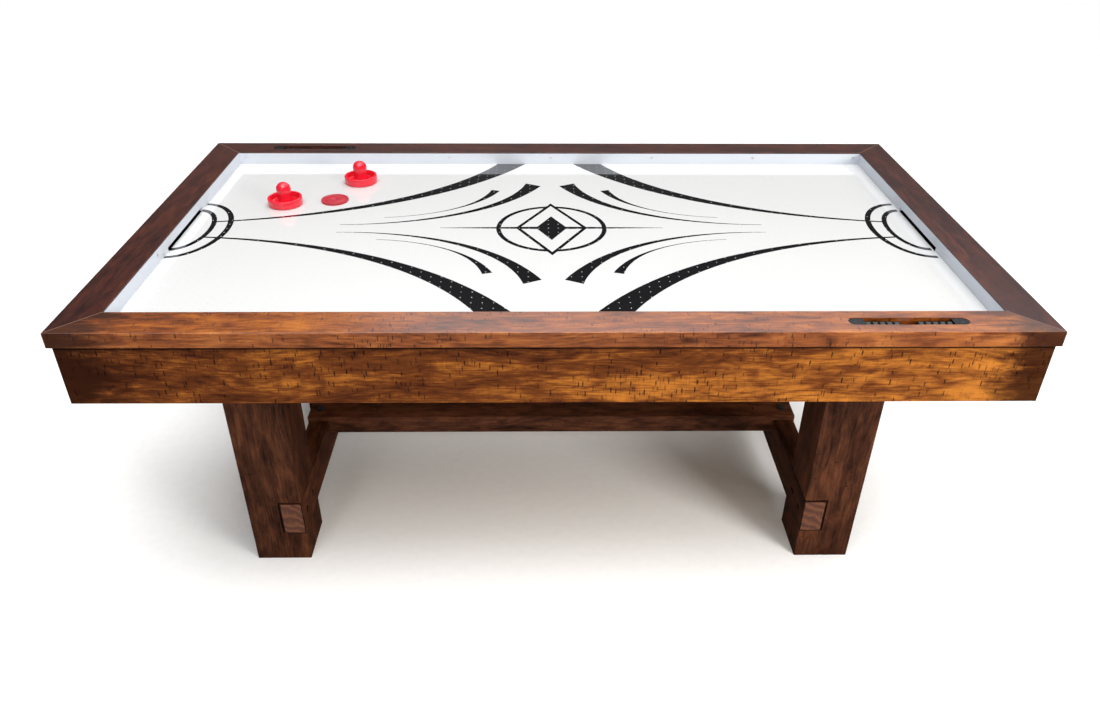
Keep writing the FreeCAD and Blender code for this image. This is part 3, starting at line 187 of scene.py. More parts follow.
# ---------------------------------------------------------------- materials
class Shader(Wiring):
    """A material, and the patterns its surfaces are made from."""

    def __init__(self, name):
        self.material = bpy.data.materials.new(name)
        self.material.use_nodes = True
        super().__init__(self.material.node_tree)
        self.bsdf = self.tree.nodes["Principled BSDF"]

    def blend(self, share, first, second):
        """first, with this share of it covered by second."""
        made = self.node("Mix", data_type="RGBA")
        self.plug(share, made.inputs[0])
        self.plug(first, made.inputs[6])
        self.plug(second, made.inputs[7])
        return made.outputs[2]

    def ramp(self, value, stops):
        """The colour for a value, from (value, colour) stops."""
        made = self.node("ValToRGB")
        elements = made.color_ramp.elements
        while len(elements) < len(stops):
            elements.new(0.5)
        for element, (place, colour) in zip(elements, stops):
            element.position = place
            element.color = (*colour, 1)
        self.plug(value, made.inputs[0])
        return made.outputs[0]

    def place(self, axis="X"):
        """The point on the object, with its first coordinate along axis."""
        point = self.node("TexCoord").outputs["Object"]
        if axis == "X":
            return point
        parts = self.parts(point)
        join = self.node("CombineXYZ")
        order = {"Y": "YXZ", "Z": "ZXY"}[axis]
        for target, source in zip("XYZ", order):
            self.plug(parts[source], join.inputs[target])
        return join.outputs[0]

    def stretch(self, point, scale, shift=(0, 0, 0)):
        made = self.node("Mapping")
        self.plug(point, made.inputs["Vector"])
        made.inputs["Scale"].default_value = scale
        made.inputs["Location"].default_value = shift
        return made.outputs[0]

    def noise(self, point, scale, shift=(0, 0, 0), detail=3, roughness=0.5, distortion=0):
        made = self.node("TexNoise")
        self.plug(self.stretch(point, scale, shift), made.inputs["Vector"])
        made.inputs["Scale"].default_value = 1
        made.inputs["Detail"].default_value = detail
        made.inputs["Roughness"].default_value = roughness
        made.inputs["Distortion"].default_value = distortion
        return made.outputs["Fac"]

    def cells(self, point, scale, shift=(0, 0, 0)):
        """Distance to the nearest scattered point, and that point's random number."""
        made = self.node("TexVoronoi")
        self.plug(self.stretch(point, scale, shift), made.inputs["Vector"])
        made.inputs["Scale"].default_value = 1
        return made.outputs["Distance"], made.outputs["Color"]

    def bump(self, height, strength, distance):
        made = self.node("Bump")
        made.inputs["Strength"].default_value = strength
        made.inputs["Distance"].default_value = distance
        self.plug(height, made.inputs["Height"])
        return made.outputs[0]

    def end_face(self, axis):
        """1 on the sawn ends of a board whose grain runs along axis."""
        facing = self.parts(self.node("TexCoord").outputs["Normal"])
        return self.calc("GREATER_THAN", self.calc("ABSOLUTE", facing[axis]), 0.8)

    def end_grain(self, axis, palette):
        """Arcs of growth rings and open pores, a little greyer than the board's face."""
        point = self.place(axis)
        warp = self.noise(point, (3, 14, 14), detail=3)
        _, across, up = self.parts(self.stretch(point, (0, 70, 130)))
        phase = self.calc("MULTIPLY_ADD", warp, 9.0, self.calc("ADD", across, up))
        phase = self.calc("MULTIPLY", phase, 2.0)
        rings = self.calc("MULTIPLY_ADD", self.calc("SINE", phase), 0.5, 0.5)
        pores = self.noise(point, (420, 420, 420), detail=2)
        tone = self.calc("MULTIPLY_ADD", rings, 0.22, self.calc("MULTIPLY", pores, 0.7))
        dusty = [tuple(1.7 * channel + 0.014 for channel in colour) for colour in palette]
        return self.ramp(tone, [(0.15, dusty[0]), (0.42, dusty[1]), (0.75, dusty[2])])

    def edges(self, box):
        """1 close to the long edges of a board along Y with this box."""
        low, high = box
        x, _, z = self.parts(self.place())
        rims = []
        for value, start, end in ((x, low.x, high.x), (z, low.z, high.z)):
            off = self.calc("ABSOLUTE", self.calc("SUBTRACT", value, (start + end) / 2))
            half = (end - start) / 2
            rims.append(self.fade(off, half - 0.0040, half - 0.0018, 0.0, 0.9))
        return self.calc("MAXIMUM", *rims)

    def mitre(self):
        """1 along the four 45 degree joints between the rails."""
        x, y, _ = self.parts(self.place())
        across = self.calc("SUBTRACT", self.calc("ABSOLUTE", x), self.calc("ABSOLUTE", y))
        off = self.calc("ABSOLUTE", self.calc("SUBTRACT", across, MITRE_LINE))
        return self.fade(off, 0.0006, 0.0012, 0.9, 0.0)

    def goal_shade_box(self):
        """1 on what can be seen through the goal slots, the faces behind the end banks, where
        shade is painted black.
        """
        x, y, z = self.parts(self.place())
        reach_x, reach_y, top = GOAL_SHADE_REACH
        inner = self.calc("LESS_THAN", self.calc("ABSOLUTE", x), reach_x)
        below = self.calc("LESS_THAN", z, top)
        near = self.calc("LESS_THAN", self.calc("ABSOLUTE", y), reach_y)
        return self.calc("MULTIPLY", self.calc("MULTIPLY", inner, below), near)

    def finish(self, colour, roughness, normal=None, **constants):
        """Join up the surface. constants are values for its named sockets."""
        self.plug(colour, self.bsdf.inputs["Base Color"])
        self.plug(roughness, self.bsdf.inputs["Roughness"])
        if normal is not None:
            self.plug(normal, self.bsdf.inputs["Normal"])
        for name, value in constants.items():
            self.bsdf.inputs[name.replace("_", " ")].default_value = value
        return self.material


def plain(name, colour, roughness, **constants):
    """A smooth surface with faint mottling in its colour and gloss."""
    shader = Shader(name)
    mottle = shader.noise(shader.place(), (40, 40, 40), detail=4)
    light = tuple(min(1, channel * 1.02) for channel in colour)
    dark = tuple(channel * 0.98 for channel in colour)
    tone = shader.ramp(mottle, [(0.3, dark), (0.7, light)])
    gloss = shader.fade(mottle, 0.3, 0.7, roughness * 0.85, roughness * 1.15)
    return shader.finish(tone, gloss, **constants)


def wood(name, axis, palette, shift=(0, 0, 0), ticks=1.0, gloss=0.34, coat=0.35,
         specular=0.5, mitre_highlight=False, burnt=False, painted_light_slope=0.0, goal=False,
         shadow_under_rails=False, let_in=None):
    """Stained, distressed hardwood with its grain along axis.

    palette is dark, middle and light stain. Short dark dents cross the grain, with
    worm holes and a few knots, under a satin lacquer. ticks is how many dents there
    are, mitre_highlight paints a light line along the joint where two rails meet at a
    mitre as a highlight, burnt stains the ends of a board as long as the table darker,
    painted_light_slope is painted light, how much the stain lightens per metre along
    the grain towards the key lamp on the right, goal paints the shade inside the goals
    black, shadow_under_rails paints the shadow as a dark line close under the rails, and
    let_in is the box of a board whose ends show in a leg, with dark edges round them.
    """
    shader = Shader(name)
    point = shader.place(axis)
    knot_gap, knot_random = shader.cells(point, (2.3, 7, 7), shift)
    knotty = shader.calc("GREATER_THAN", knot_random, 0.5)
    swirl = shader.calc("MULTIPLY", shader.fade(knot_gap, 0.0, 0.4, 1.0, 0.0), knotty)

    blotch = shader.noise(point, (3.0, 13, 13), shift, detail=4, roughness=0.6, distortion=0.6)
    cloud = shader.noise(point, (14, 46, 46), shift, detail=5, roughness=0.66, distortion=0.35)
    fibre = shader.noise(point, (16, 430, 430), shift, detail=3, roughness=0.65)
    bend = shader.noise(point, (1.9, 8, 8), shift, detail=3)
    _, across, up = shader.parts(shader.stretch(point, (0, 520, 400)))
    phase = shader.calc("MULTIPLY_ADD", bend, 90.0, shader.calc("MULTIPLY", swirl, 12.0))
    phase = shader.calc("ADD", phase, shader.calc("ADD", across, up))
    rings = shader.calc("MULTIPLY_ADD", shader.calc("SINE", phase), 0.5, 0.5)
    rings = shader.calc("POWER", rings, 3.0)

    tone = shader.calc("MULTIPLY_ADD", blotch, 0.34, shader.calc("MULTIPLY", cloud, 0.42))
    tone = shader.calc("MULTIPLY_ADD", fibre, 0.26, tone)
    tone = shader.calc("MULTIPLY_ADD", rings, -0.036, tone)
    tone = shader.calc("MULTIPLY_ADD", swirl, -0.05, tone)
    # Painted light: the stain lightens along the board towards the key lamp on the right, as the
    # light falls.
    along = shader.parts(point)[0]
    tone = shader.calc("MULTIPLY_ADD", along, painted_light_slope, tone)
    dark, middle, light = palette
    colour = shader.ramp(tone, [(0.38, dark), (0.495, middle), (0.63, light)])
    if burnt:
        ragged = shader.calc("SUBTRACT", cloud, 0.5)
        outward = shader.calc("MULTIPLY_ADD", ragged, -0.22, shader.calc("ABSOLUTE", along))
        end = shader.fade(outward, 0.84 * HALF_LENGTH, 0.96 * HALF_LENGTH, 0.0, 0.90)
        scorched = tuple(0.6 * channel for channel in dark)
        colour = shader.blend(end, colour, (*scorched, 1))

    chatter = shader.noise(point, (620, 24, 24), shift, detail=2)
    chatter = shader.calc("MULTIPLY", shader.fade(chatter, 0.56, 0.68, 0.0, 0.42 * ticks),
                          shader.fade(blotch, 0.45, 0.55, 0.15, 1.0))
    colour = shader.blend(chatter, colour, (*dark, 1))
    crowd = shader.fade(shader.noise(point, (4.2, 9, 9), shift, detail=2), 0.40, 0.60, 0.25, 1.0)
    dent_gap, dent_random = shader.cells(point, (190, 42, 42), shift)
    split = shader.node("SeparateColor")
    shader.plug(dent_random, split.inputs[0])
    chance = shader.calc("LESS_THAN", split.outputs[0],
                         shader.calc("MULTIPLY", crowd, 0.62 * ticks))
    width = shader.calc("MULTIPLY_ADD", split.outputs[1], 0.22, 0.24)
    dent = shader.fade(shader.calc("DIVIDE", dent_gap, width), 0.5, 1.0, 1.0, 0.0)
    dent = shader.calc("MULTIPLY", chance, dent)
    worm_gap, worm_random = shader.cells(point, (30, 30, 30), shift)
    worm = shader.calc("MULTIPLY", shader.calc("GREATER_THAN", worm_random, 0.62),
                       shader.fade(worm_gap, 0.035, 0.065, 1.0, 0.0))
    marks = shader.calc("MAXIMUM", dent, worm)
    heart = shader.calc("MULTIPLY", knotty, shader.fade(knot_gap, 0.03, 0.13, 0.75, 0.0))
    ink = tuple(channel * 0.2 for channel in dark)
    colour = shader.blend(heart, colour, (*dark, 1))
    depth = shader.calc("MULTIPLY_ADD", split.outputs[2], 0.5, 0.45)
    colour = shader.blend(shader.calc("MULTIPLY", marks, depth), colour, (*ink, 1))

    end_grain = shader.end_grain(axis, palette)
    if let_in:
        end_grain = shader.blend(shader.edges(let_in), end_grain, (*ink, 1))
    colour = shader.blend(shader.end_face(axis), colour, end_grain)
    # Painted shadow: a dark line on the apron close under the rails, where their overhang shades
    # it.
    if shadow_under_rails:
        up = shader.parts(shader.place())[2]
        painted_shadow_line = shader.fade(up, RAIL_UNDERSIDE - 0.0100, RAIL_UNDERSIDE - 0.0065, 0.0, 0.85)
        colour = shader.blend(painted_shadow_line, colour, (*ink, 1))
    # Painted highlight: a light line along the real mitre joints, where their edge catches light.
    if mitre_highlight:
        colour = shader.blend(shader.mitre(), colour, (*MITRE_HIGHLIGHT_COLOUR, 1))
    # Painted shade: black inside the goals, where the slots look into shade.
    if goal:
        colour = shader.blend(shader.goal_shade_box(), colour, (*GOAL_SHADE_COLOUR, 1))
    height = shader.calc("MULTIPLY_ADD", fibre, 0.18, shader.calc("MULTIPLY", marks, -1.0))
    normal = shader.bump(height, 0.5, 0.0006)
    rough = shader.fade(fibre, 0.3, 0.7, gloss * 0.85, gloss * 1.2)
    return shader.finish(colour, rough, normal, Coat_Weight=coat, Coat_Roughness=0.3,
                         Specular_IOR_Level=specular)


def coating(name, colour, roughness, grain=60, spots=0.1, bump=0.0, scuff=0.0, **constants):
    """Paint, plastic or metal: soft mottling, fine grain and a few scuffs in its gloss."""
    shader = Shader(name)
    point = shader.place()
    mottle = shader.noise(point, (9, 9, 9), detail=4)
    fine = shader.noise(point, (grain, grain, grain), detail=3)
    tone = shader.calc("MULTIPLY_ADD", fine, 0.5, shader.calc("MULTIPLY", mottle, 0.5))
    dark = tuple(channel * (1 - spots) for channel in colour)
    light = tuple(min(1, channel * (1 + spots)) for channel in colour)
    paint_colour = shader.ramp(tone, [(0.3, dark), (0.7, light)])
    rub = shader.noise(shader.stretch(point, (3, 40, 3)), (6, 6, 6), detail=4, roughness=0.7)
    gloss = shader.fade(rub, 0.55, 0.72, roughness, roughness + scuff)
    gloss = shader.calc("MULTIPLY_ADD", fine, roughness * 0.2, gloss)
    normal = shader.bump(fine, bump, 0.0004) if bump else None
    return shader.finish(paint_colour, gloss, normal, **constants)


def brushed(name, colour, roughness, axis="Z"):
    """Turned or drawn metal with fine lines along axis."""
    shader = Shader(name)
    point = shader.place(axis)
    lines = shader.noise(point, (8, 900, 900), detail=3)
    tarnish = shader.noise(point, (60, 60, 60), detail=3)
    tone = shader.calc("MULTIPLY_ADD", lines, 0.5, shader.calc("MULTIPLY", tarnish, 0.5))
    dark = tuple(channel * 0.75 for channel in colour)
    metal = shader.ramp(tone, [(0.3, dark), (0.65, colour)])
    gloss = shader.fade(lines, 0.3, 0.7, roughness * 0.8, roughness * 1.3)
    return shader.finish(metal, gloss, shader.bump(lines, 0.15, 0.0002), Metallic=1.0)


def fabric(name, colour):
    """Dense pressed felt."""
    shader = Shader(name)
    fuzz = shader.noise(shader.place(), (900, 900, 900), detail=4, roughness=0.7)
    dark = tuple(channel * 0.55 for channel in colour)
    tone = shader.ramp(fuzz, [(0.3, dark), (0.7, colour)])
    return shader.finish(tone, 0.95, shader.bump(fuzz, 0.7, 0.0006), Specular_IOR_Level=0.1)


def board(name, axis, palette):
    """Bare plywood or softwood inside the table."""
    return wood(name, axis, palette, ticks=0.0, gloss=0.6, coat=0.0, specular=0.2)


# ---------------------------------------------------------------- mesh helpers
def add_piece(name, mesh, materials, replaced, body="table", sharp=None):
    """Hang a mesh on a body in place of CAD nodes. sharp is the angle its edges stay hard from."""
    piece = bpy.data.objects.new(name, mesh)
    bpy.context.scene.collection.objects.link(piece)
    for material in materials:
        mesh.materials.append(material)
    if sharp is not None:
        mesh.shade_smooth()
        mesh.set_sharp_from_angle(angle=math.radians(sharp))
    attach(piece, body)
    if replaced:
        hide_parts(*replaced)
    return piece


def paint(node_name, *materials):
    """Give a CAD node its finish."""
    mesh = NODES[node_name].data
    mesh.materials.clear()
    for material in materials:
        mesh.materials.append(material)


def lathe_mesh(name, profile, centre, segments=96):
    """Turn a profile of (radius, height) round an upright axis through centre.

    A radius of 0 closes the shape with one point.
    """
    verts, faces, rings = [], [], []
    for radius, height in profile:
        if radius == 0:
            rings.append([len(verts)])
            verts.append((centre[0], centre[1], centre[2] + height))
            continue
        rings.append(list(range(len(verts), len(verts) + segments)))
        for step in range(segments):
            angle = 2 * math.pi * step / segments
            verts.append((centre[0] + radius * math.cos(angle),
                          centre[1] + radius * math.sin(angle), centre[2] + height))
    for lower, upper in zip(rings, rings[1:]):
        for step in range(segments):
            following = (step + 1) % segments
            if len(lower) == 1:
                faces.append((lower[0], upper[following], upper[step]))
            elif len(upper) == 1:
                faces.append((lower[step], lower[following], upper[0]))
            else:
                faces.append((lower[step], lower[following], upper[following], upper[step]))
    mesh = bpy.data.meshes.new(name)
    mesh.from_pydata(verts, [], faces)
    mesh.validate()
    return mesh


def arc(centre, radius, start, end, steps):
    """Points of (radius, height) on a round corner, between two angles in degrees."""
    points = []
    for step in range(steps + 1):
        angle = math.radians(start + (end - start) * step / steps)
        points.append((centre[0] + radius * math.cos(angle), centre[1] + radius * math.sin(angle)))
    return points


# ---------------------------------------------------------------- playfield figures
# Flat shapes as lists of (x, y) in metres. Each is drawn in the quarter with x and y
# rising from the figures' centre, and mirrored to the others.
CENTRE_X, CENTRE_Y = -0.005, 0.015
GOAL_Y = 0.007
BOW = 0.0115  # how far the figures' middle line dips, per square metre from the centre
FIELD_X = 0.952


def mirrored(points):
    """A quarter's shape in all four quarters, bowed a little towards the goals."""
    return [[(CENTRE_X + sx * u, CENTRE_Y - BOW * u * u + sy * v) for u, v in points]
            for sx in (-1, 1) for sy in (-1, 1)]


def bezier(start, pull, push, end, steps=36):
    """Points along a curve from start to end, drawn towards pull and push."""
    points = []
    for step in range(steps + 1):
        t = step / steps
        weights = ((1 - t) ** 3, 3 * t * (1 - t) ** 2, 3 * t * t * (1 - t), t ** 3)
        points.append(tuple(sum(w * p[i] for w, p in zip(weights, (start, pull, push, end)))
                            for i in (0, 1)))
    return points


def sweep(inner, outer):
    """A band that widens between two curves."""
    return bezier(*inner) + list(reversed(bezier(*outer)))


def circle(radius, steps=144):
    return [(CENTRE_X + radius * math.cos(2 * math.pi * k / steps),
             CENTRE_Y + radius * math.sin(2 * math.pi * k / steps)) for k in range(steps)]


def lozenge(half_x, half_y):
    return [(CENTRE_X + half_x, CENTRE_Y), (CENTRE_X, CENTRE_Y + half_y),
            (CENTRE_X - half_x, CENTRE_Y), (CENTRE_X, CENTRE_Y - half_y)]


def goal_arc(side, depth, half_height, steps=72):
    """Half an ellipse standing on an end wall."""
    return [(CENTRE_X + side * (FIELD_X - depth * math.cos(a)), GOAL_Y + half_height * math.sin(a))
            for a in (math.pi * (k / steps - 0.5) for k in range(steps + 1))]


def inside(points, shape):
    """Which rows of points lie in a closed outline, by counting crossings."""
    hit = np.zeros(len(points), bool)
    x, y = points[:, 0], points[:, 1]
    for (x0, y0), (x1, y1) in zip(shape, shape[1:] + shape[:1]):
        if y0 == y1:
            continue
        crosses = (y0 > y) != (y1 > y)
        hit ^= crosses & (x < (x1 - x0) * (y - y0) / (y1 - y0) + x0)
    return hit


def figures():
    """The drawing as (add or remove, outlines), painted in this order."""
    long_sweep = sweep(((0.886, 0.0455), (0.558, 0.0770), (0.227, 0.219), (0.055, 0.512)),
                       ((0.886, 0.0525), (0.589, 0.0860), (0.274, 0.230), (0.144, 0.512)))
    middle_sweep = sweep(((0.557, 0.0233), (0.344, 0.0205), (0.130, 0.099), (0.027, 0.297)),
                         ((0.557, 0.0252), (0.365, 0.0245), (0.121, 0.112), (0.070, 0.318)))
    short_sweep = sweep(((0.447, 0.0695), (0.324, 0.0785), (0.195, 0.141), (0.144, 0.260)),
                        ((0.447, 0.0713), (0.327, 0.0815), (0.200, 0.139), (0.168, 0.267)))
    taper = [(CENTRE_X + x, CENTRE_Y + y) for x, y in
             ((-0.292, 0.0009), (0, 0.0085), (0.292, 0.0009),
              (0.292, -0.0009), (0, -0.0085), (-0.292, -0.0009))]
    drawing = [
        (True, [circle(0.1445)]), (False, [circle(0.1325)]),
        (True, mirrored(middle_sweep) + mirrored(short_sweep)),
        (True, [lozenge(0.094, 0.166)]), (False, [lozenge(0.083, 0.1466)]),
        (True, [lozenge(0.041, 0.076)]), (True, [taper]),
    ]
    for side in (-1, 1):
        for outer, inner in (((0.116, 0.174), (0.101, 0.161)), ((0.072, 0.131), (0.059, 0.116))):
            drawing += [(True, [goal_arc(side, *outer)]), (False, [goal_arc(side, *inner)])]
    return drawing + [(True, mirrored(long_sweep))]


HOLE_PITCH, HOLE_RADIUS, RIM_RADIUS = 0.0254, 0.0008, 0.0015
HOLE_COLUMNS, HOLE_ROWS = 36, 19  # in each half, counted from the middle lines
MOUTH_IN, MOUTH_OUT, MOUTH_HALF_WIDTH = 0.952, 1.012, 0.128  # the openings that drop to the trays
WHITE, BLACK, HOLE_WALL, BACK, MOUTH_WALL = range(5)  # the panel's materials
MERGE_GAP = 1e-6


def hexagon_reach(radius):
    """A distance from a hexagon's middle that its inner triangles' middles are within."""
    return 0.95 * radius


def playfield_mesh():
    """The panel with its figures as faces of their own and every air hole cut through."""
    low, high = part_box("playfield")
    outline = [(low.x, low.y), (high.x, low.y), (high.x, high.y), (low.x, high.y)]
    mouths = [[(side * MOUTH_IN, -MOUTH_HALF_WIDTH), (side * MOUTH_OUT, -MOUTH_HALF_WIDTH),
               (side * MOUTH_OUT, MOUTH_HALF_WIDTH), (side * MOUTH_IN, MOUTH_HALF_WIDTH)]
              for side in (-1, 1)]
    holes = []
    for column in range(-HOLE_COLUMNS, HOLE_COLUMNS):
        for row in range(-HOLE_ROWS, HOLE_ROWS):
            x, y = (column + 0.5) * HOLE_PITCH, (row + 0.5) * HOLE_PITCH
            for radius in (HOLE_RADIUS, RIM_RADIUS):
                holes.append([(x + radius * math.cos(math.pi * k / 3),
                               y + radius * math.sin(math.pi * k / 3)) for k in range(6)])
    drawing = figures()
    shapes = [outline, *mouths, *holes]
    for _, outlines in drawing:
        shapes += outlines
    points, edges = [], []
    for shape in shapes:
        first = len(points)
        points += [Vector((min(max(x, low.x), high.x), min(max(y, low.y), high.y)))
                   for x, y in shape]
        edges += [(first + k, first + (k + 1) % len(shape)) for k in range(len(shape))]
    flat, _, faces, _, _, _ = delaunay_2d_cdt(points, edges, [], 0, MERGE_GAP)

    flat = np.array([(p.x, p.y) for p in flat])
    faces = np.array(faces)
    middles = flat[faces].mean(1)
    kept = np.ones(len(faces), bool)
    for mouth in mouths:
        kept &= ~inside(middles, mouth)
    cell = middles / HOLE_PITCH
    offset = (cell - np.floor(cell) - 0.5) * HOLE_PITCH
    in_rows = (np.abs(cell[:, 0]) < HOLE_COLUMNS) & (np.abs(cell[:, 1]) < HOLE_ROWS)
    from_hole = np.where(in_rows, np.hypot(offset[:, 0], offset[:, 1]), 1)
    kept &= from_hole > hexagon_reach(HOLE_RADIUS)
    kind = np.zeros(len(faces), np.int32)
    for add, outlines in drawing:
        for shape in outlines:
            kind[inside(middles, shape)] = BLACK if add else WHITE
    kind[from_hole < hexagon_reach(RIM_RADIUS)] = HOLE_WALL

    faces, kind = faces[kept], kind[kept]
    used = np.unique(faces)
    renumber = np.zeros(len(flat), int)
    renumber[used] = np.arange(len(used))
    faces, flat = renumber[faces], flat[used]
    count = len(flat)
    verts = [(x, y, high.z) for x, y in flat] + [(x, y, low.z) for x, y in flat]
    sides = dict.fromkeys(edge for a, b, c in faces.tolist()
                          for edge in ((a, b), (b, c), (c, a)))
    walls = [(b, a, a + count, b + count) for a, b in sides if (b, a) not in sides]
    under = [(c + count, b + count, a + count) for a, b, c in faces.tolist()]
    mesh = bpy.data.meshes.new("playfield_panel")
    mesh.from_pydata(verts, [], faces.tolist() + walls + under)
    wall_kind = [MOUTH_WALL if abs(flat[a][0]) > MOUTH_IN - 0.0005 else HOLE_WALL
                 for _, a, _, _ in walls]
    kinds = np.concatenate([kind, np.array(wall_kind), np.full(len(under), BACK)])
    mesh.polygons.foreach_set("material_index", kinds.astype(np.int32))
    mesh.update()
    return mesh


# ---------------------------------------------------------------- loose pieces
def mallet_profile():
    """A ring with a trough round a bullet-shaped knob, on a hollow foot for the felt.

    In millimetres, from the middle of the foot out, up and in to the top of the knob.
    """
    rim, recess, ring_top, knob, top = 46.5, 42.1, 21.0, 20.0, 62.5
    points = [(0, 1), (recess, 1), (recess, 0), (rim - 1.2, 0)]
    points += arc((rim - 1.2, 1.2), 1.2, -90, 0, 4)[1:]
    points += arc((rim - 2.4, ring_top - 2.4), 2.4, 0, 90, 8)
    points += arc((rim - 5.0, ring_top - 1.8), 1.8, 90, 180, 6)
    points += [(39.5, 14), (38.6, 10.5)] + arc((35.4, 9.8), 3.2, 0, -90, 6)
    points += arc((knob + 5.4, 11.6), 5.2, 270, 190, 6)
    points += [(19.4, 16), (18.9, 21), (18.8, 28), (19.1, 35), (19.7, 40)]
    points += arc((0, top - knob), knob, 0, 84, 18) + [(0, top)]
    return [(radius * MM, height * MM) for radius, height in points]


def puck_profile():
    """A thin disc with rounded rims, a shallow ring groove and a moulding pip.

    In millimetres, from the middle of the underside out, up and in to the pip.
    """
    rim, top, soft = 37.5, 5.5, 0.8
    points = [(0, 0), (rim - soft, 0)] + arc((rim - soft, soft), soft, -90, 0, 4)[1:]
    points += arc((rim - soft, top - soft), soft, 0, 90, 4)
    points += [(32.3, top), (31.9, top - 0.15), (31.2, top - 0.6), (27.6, top - 0.6),
               (26.9, top - 0.15), (26.5, top), (3.6, top), (3.2, top - 0.2), (2.4, top - 0.5),
               (0, top - 0.5)]
    return [(radius * MM, height * MM) for radius, height in points]


def seat_of(node_name):
    """The middle of a node's foot."""
    low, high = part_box(node_name)
    return ((low.x + high.x) / 2, (low.y + high.y) / 2, low.z)


# ---------------------------------------------------------------- the table
make_camera()
make_studio()

# Stains: dark, middle and light.
AMBER = ((0.046, 0.0095, 0.0015), (0.142, 0.0365, 0.0042), (0.45, 0.152, 0.016))
ORANGE = ((0.060, 0.0125, 0.0020), (0.24, 0.0570, 0.0060), (0.50, 0.155, 0.016))
RED_BROWN = ((0.016, 0.0036, 0.0023), (0.048, 0.0100, 0.0054), (0.10, 0.023, 0.010))
DARK = ((0.014, 0.0046, 0.0024), (0.052, 0.0170, 0.0078), (0.125, 0.041, 0.016))
BEAM = ((0.020, 0.0072, 0.0040), (0.076, 0.0260, 0.0130), (0.165, 0.058, 0.026))
PLY = ((0.22, 0.13, 0.07), (0.38, 0.26, 0.14), (0.50, 0.37, 0.22))

# Finishes of the boards.
RAIL = dict(coat=1.0, specular=0.5, mitre_highlight=True)
SIDE_RAIL = dict(coat=0.5, specular=0.35, mitre_highlight=True)
APRON = dict(coat=0.0, specular=0.12, gloss=0.4, shadow_under_rails=True)
LEG = dict(coat=0.0, specular=0.08, ticks=0.15, gloss=0.5)
paint("rail_front", wood("rail_front_wood", "X", ORANGE, (3, 1, 2), burnt=True,
                         painted_light_slope=0.01, **RAIL))
paint("apron_front", wood("apron_front_wood", "X", AMBER, (7, 4, 1), burnt=True,
                          painted_light_slope=0.065, **APRON))
paint("rail_back", wood("rail_back_wood", "X", RED_BROWN, (1, 6, 3), **SIDE_RAIL))
paint("apron_back", wood("apron_back_wood", "X", AMBER, (5, 2, 8), burnt=True, **APRON))
for number, side in enumerate(("left", "right")):
    paint(f"rail_{side}", wood(f"rail_{side}_wood", "Y", RED_BROWN, (2 + number, 7, 5),
                               goal=True, **SIDE_RAIL))
    paint(f"apron_{side}", wood(f"apron_{side}_wood", "Y", AMBER, (4 + number, 3, 9),
                                goal=True, **APRON))
    stretcher = f"stretcher_{side}"
    paint(stretcher, wood(f"{stretcher}_wood", "Y", DARK, (8, 5 + number, 2),
                          let_in=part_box(stretcher), **LEG))
    paint(f"cross_member_{side}", board(f"cross_member_{side}_wood", "Y", PLY))
for number, corner in enumerate(("front_left", "front_right", "back_left", "back_right")):
    paint(f"leg_{corner}", wood(f"leg_{corner}_wood", "Z", DARK, (number, 2, 6), **LEG))
paint("centre_beam", wood("centre_beam_wood", "X", BEAM, (6, 8, 3), **LEG))
paint("corner_blocks", board("corner_block_wood", "Z", PLY))
paint("plenum_frame", board("plenum_frame_wood", "X", PLY))
paint("plenum_base", board("plenum_base_wood", "X", PLY))

white = coating("field_white", (0.74, 0.74, 0.735), 0.08, 200, 0.01, scuff=0.04,
                Coat_Weight=1.0, Coat_Roughness=0.02)
black = coating("field_black", (0.006, 0.006, 0.007), 0.08, 200, 0.2, scuff=0.04,
                Coat_Weight=1.0, Coat_Roughness=0.02)
hole_wall = coating("hole_wall", (0.62, 0.61, 0.60), 0.6, 900, 0.12)
panel_back = fabric("panel_back", (0.30, 0.25, 0.20))
# Painted shade: the walls of the openings down to the trays are black, as the shade in the goal
# mouths.
goal_shade_black = coating("goal_shade_black", (0.006, 0.006, 0.006), 0.6, 900, 0.2)
add_piece("playfield_panel", playfield_mesh(), (white, black, hole_wall, panel_back, goal_shade_black),
          ["playfield"])

bank = coating("bank_white", (0.66, 0.70, 0.77), 0.5, 300, 0.015, scuff=0.08)
for side in ("front", "back", "left", "right"):
    paint(f"bank_{side}", bank)
paint("bank_screws", brushed("screw_steel", (0.80, 0.80, 0.81), 0.35))

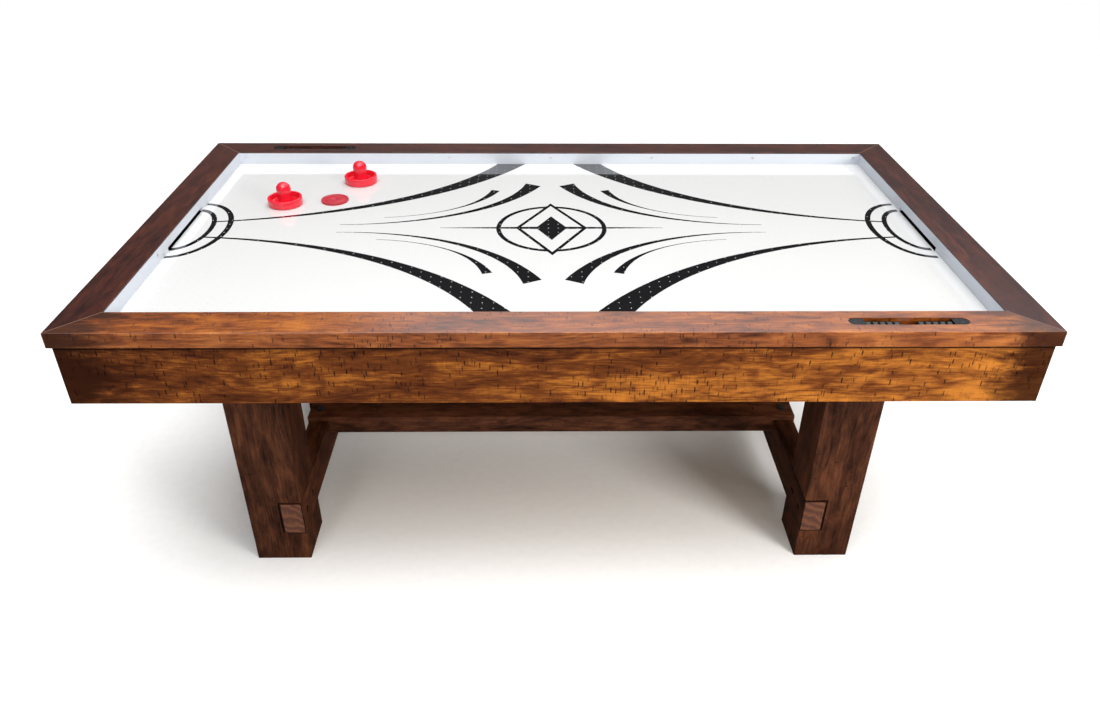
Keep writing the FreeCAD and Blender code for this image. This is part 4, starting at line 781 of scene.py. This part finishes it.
red = coating("mallet_red", (0.78, 0.014, 0.036), 0.16, 500, 0.06, scuff=0.12, Coat_Weight=0.3)
for number in (1, 2):
    mallet = f"mallet_{number}"
    body = "goal_mallet" if number == 1 else "strike_mallet"
    add_piece(f"{mallet}_turned", lathe_mesh(mallet, mallet_profile(), seat_of(mallet)), (red,),
              [mallet], body, sharp=38)
    paint(f"mallet_felt_{number}", fabric(f"felt_grey_{number}", (0.30, 0.30, 0.31)))
worn_red = coating("puck_red", (0.42, 0.020, 0.034), 0.34, 260, 0.22, bump=0.1, scuff=0.25)
add_piece("puck_turned", lathe_mesh("puck", puck_profile(), seat_of("puck")), (worn_red,),
          ["puck"], "puck", sharp=38)

cap_black = coating("cap_black", (0.005, 0.005, 0.006), 0.25, 300, 0.2, scuff=0.15)
paint("scorer_caps", cap_black)
paint("scorer_screws", brushed("scorer_screw_steel", (0.10, 0.10, 0.11), 0.3))
bead_black = coating("bead_black", (0.006, 0.006, 0.007), 0.12, 400, 0.2, scuff=0.1)
for node_name in NODES:
    if node_name.startswith("bead"):
        paint(node_name, bead_black)
rod = brushed("rod_steel", (0.80, 0.80, 0.81), 0.16, "X")
paint("scorer_rod_front", rod)
paint("scorer_rod_back", rod)

bolt_black = coating("bolt_black", (0.018, 0.018, 0.019), 0.40, 500, 0.25, bump=0.2)
for node_name in ("stretcher_bolts", "leg_bolts", "beam_bolts"):
    paint(node_name, bolt_black)
tray = coating("tray_black", (0.020, 0.020, 0.021), 0.45, 900, 0.2, bump=0.3)
paint("puck_tray_left", tray)
paint("puck_tray_right", tray)
moulded = coating("blower_black", (0.020, 0.020, 0.022), 0.5, 700, 0.2, bump=0.3)
for node_name in ("blower_housing", "blower_guard", "blower_impeller"):
    paint(node_name, moulded)
paint("blower_motor", brushed("motor_metal", (0.45, 0.45, 0.46), 0.4))
paint("blower_shaft", brushed("shaft_steel", (0.62, 0.62, 0.63), 0.25))
paint("switch_housing", cap_black)
paint("switch_rocker", coating("rocker_black", (0.030, 0.030, 0.032), 0.35, 800, 0.2, bump=0.2))
paint("power_inlet", cap_black)
paint("inlet_pins", brushed("pin_brass", (0.72, 0.52, 0.22), 0.25, "Y"))
lead = coating("lead_black", (0.022, 0.022, 0.023), 0.55, 700, 0.25, bump=0.3)
paint("power_lead", lead)
paint("lead_clips", lead)
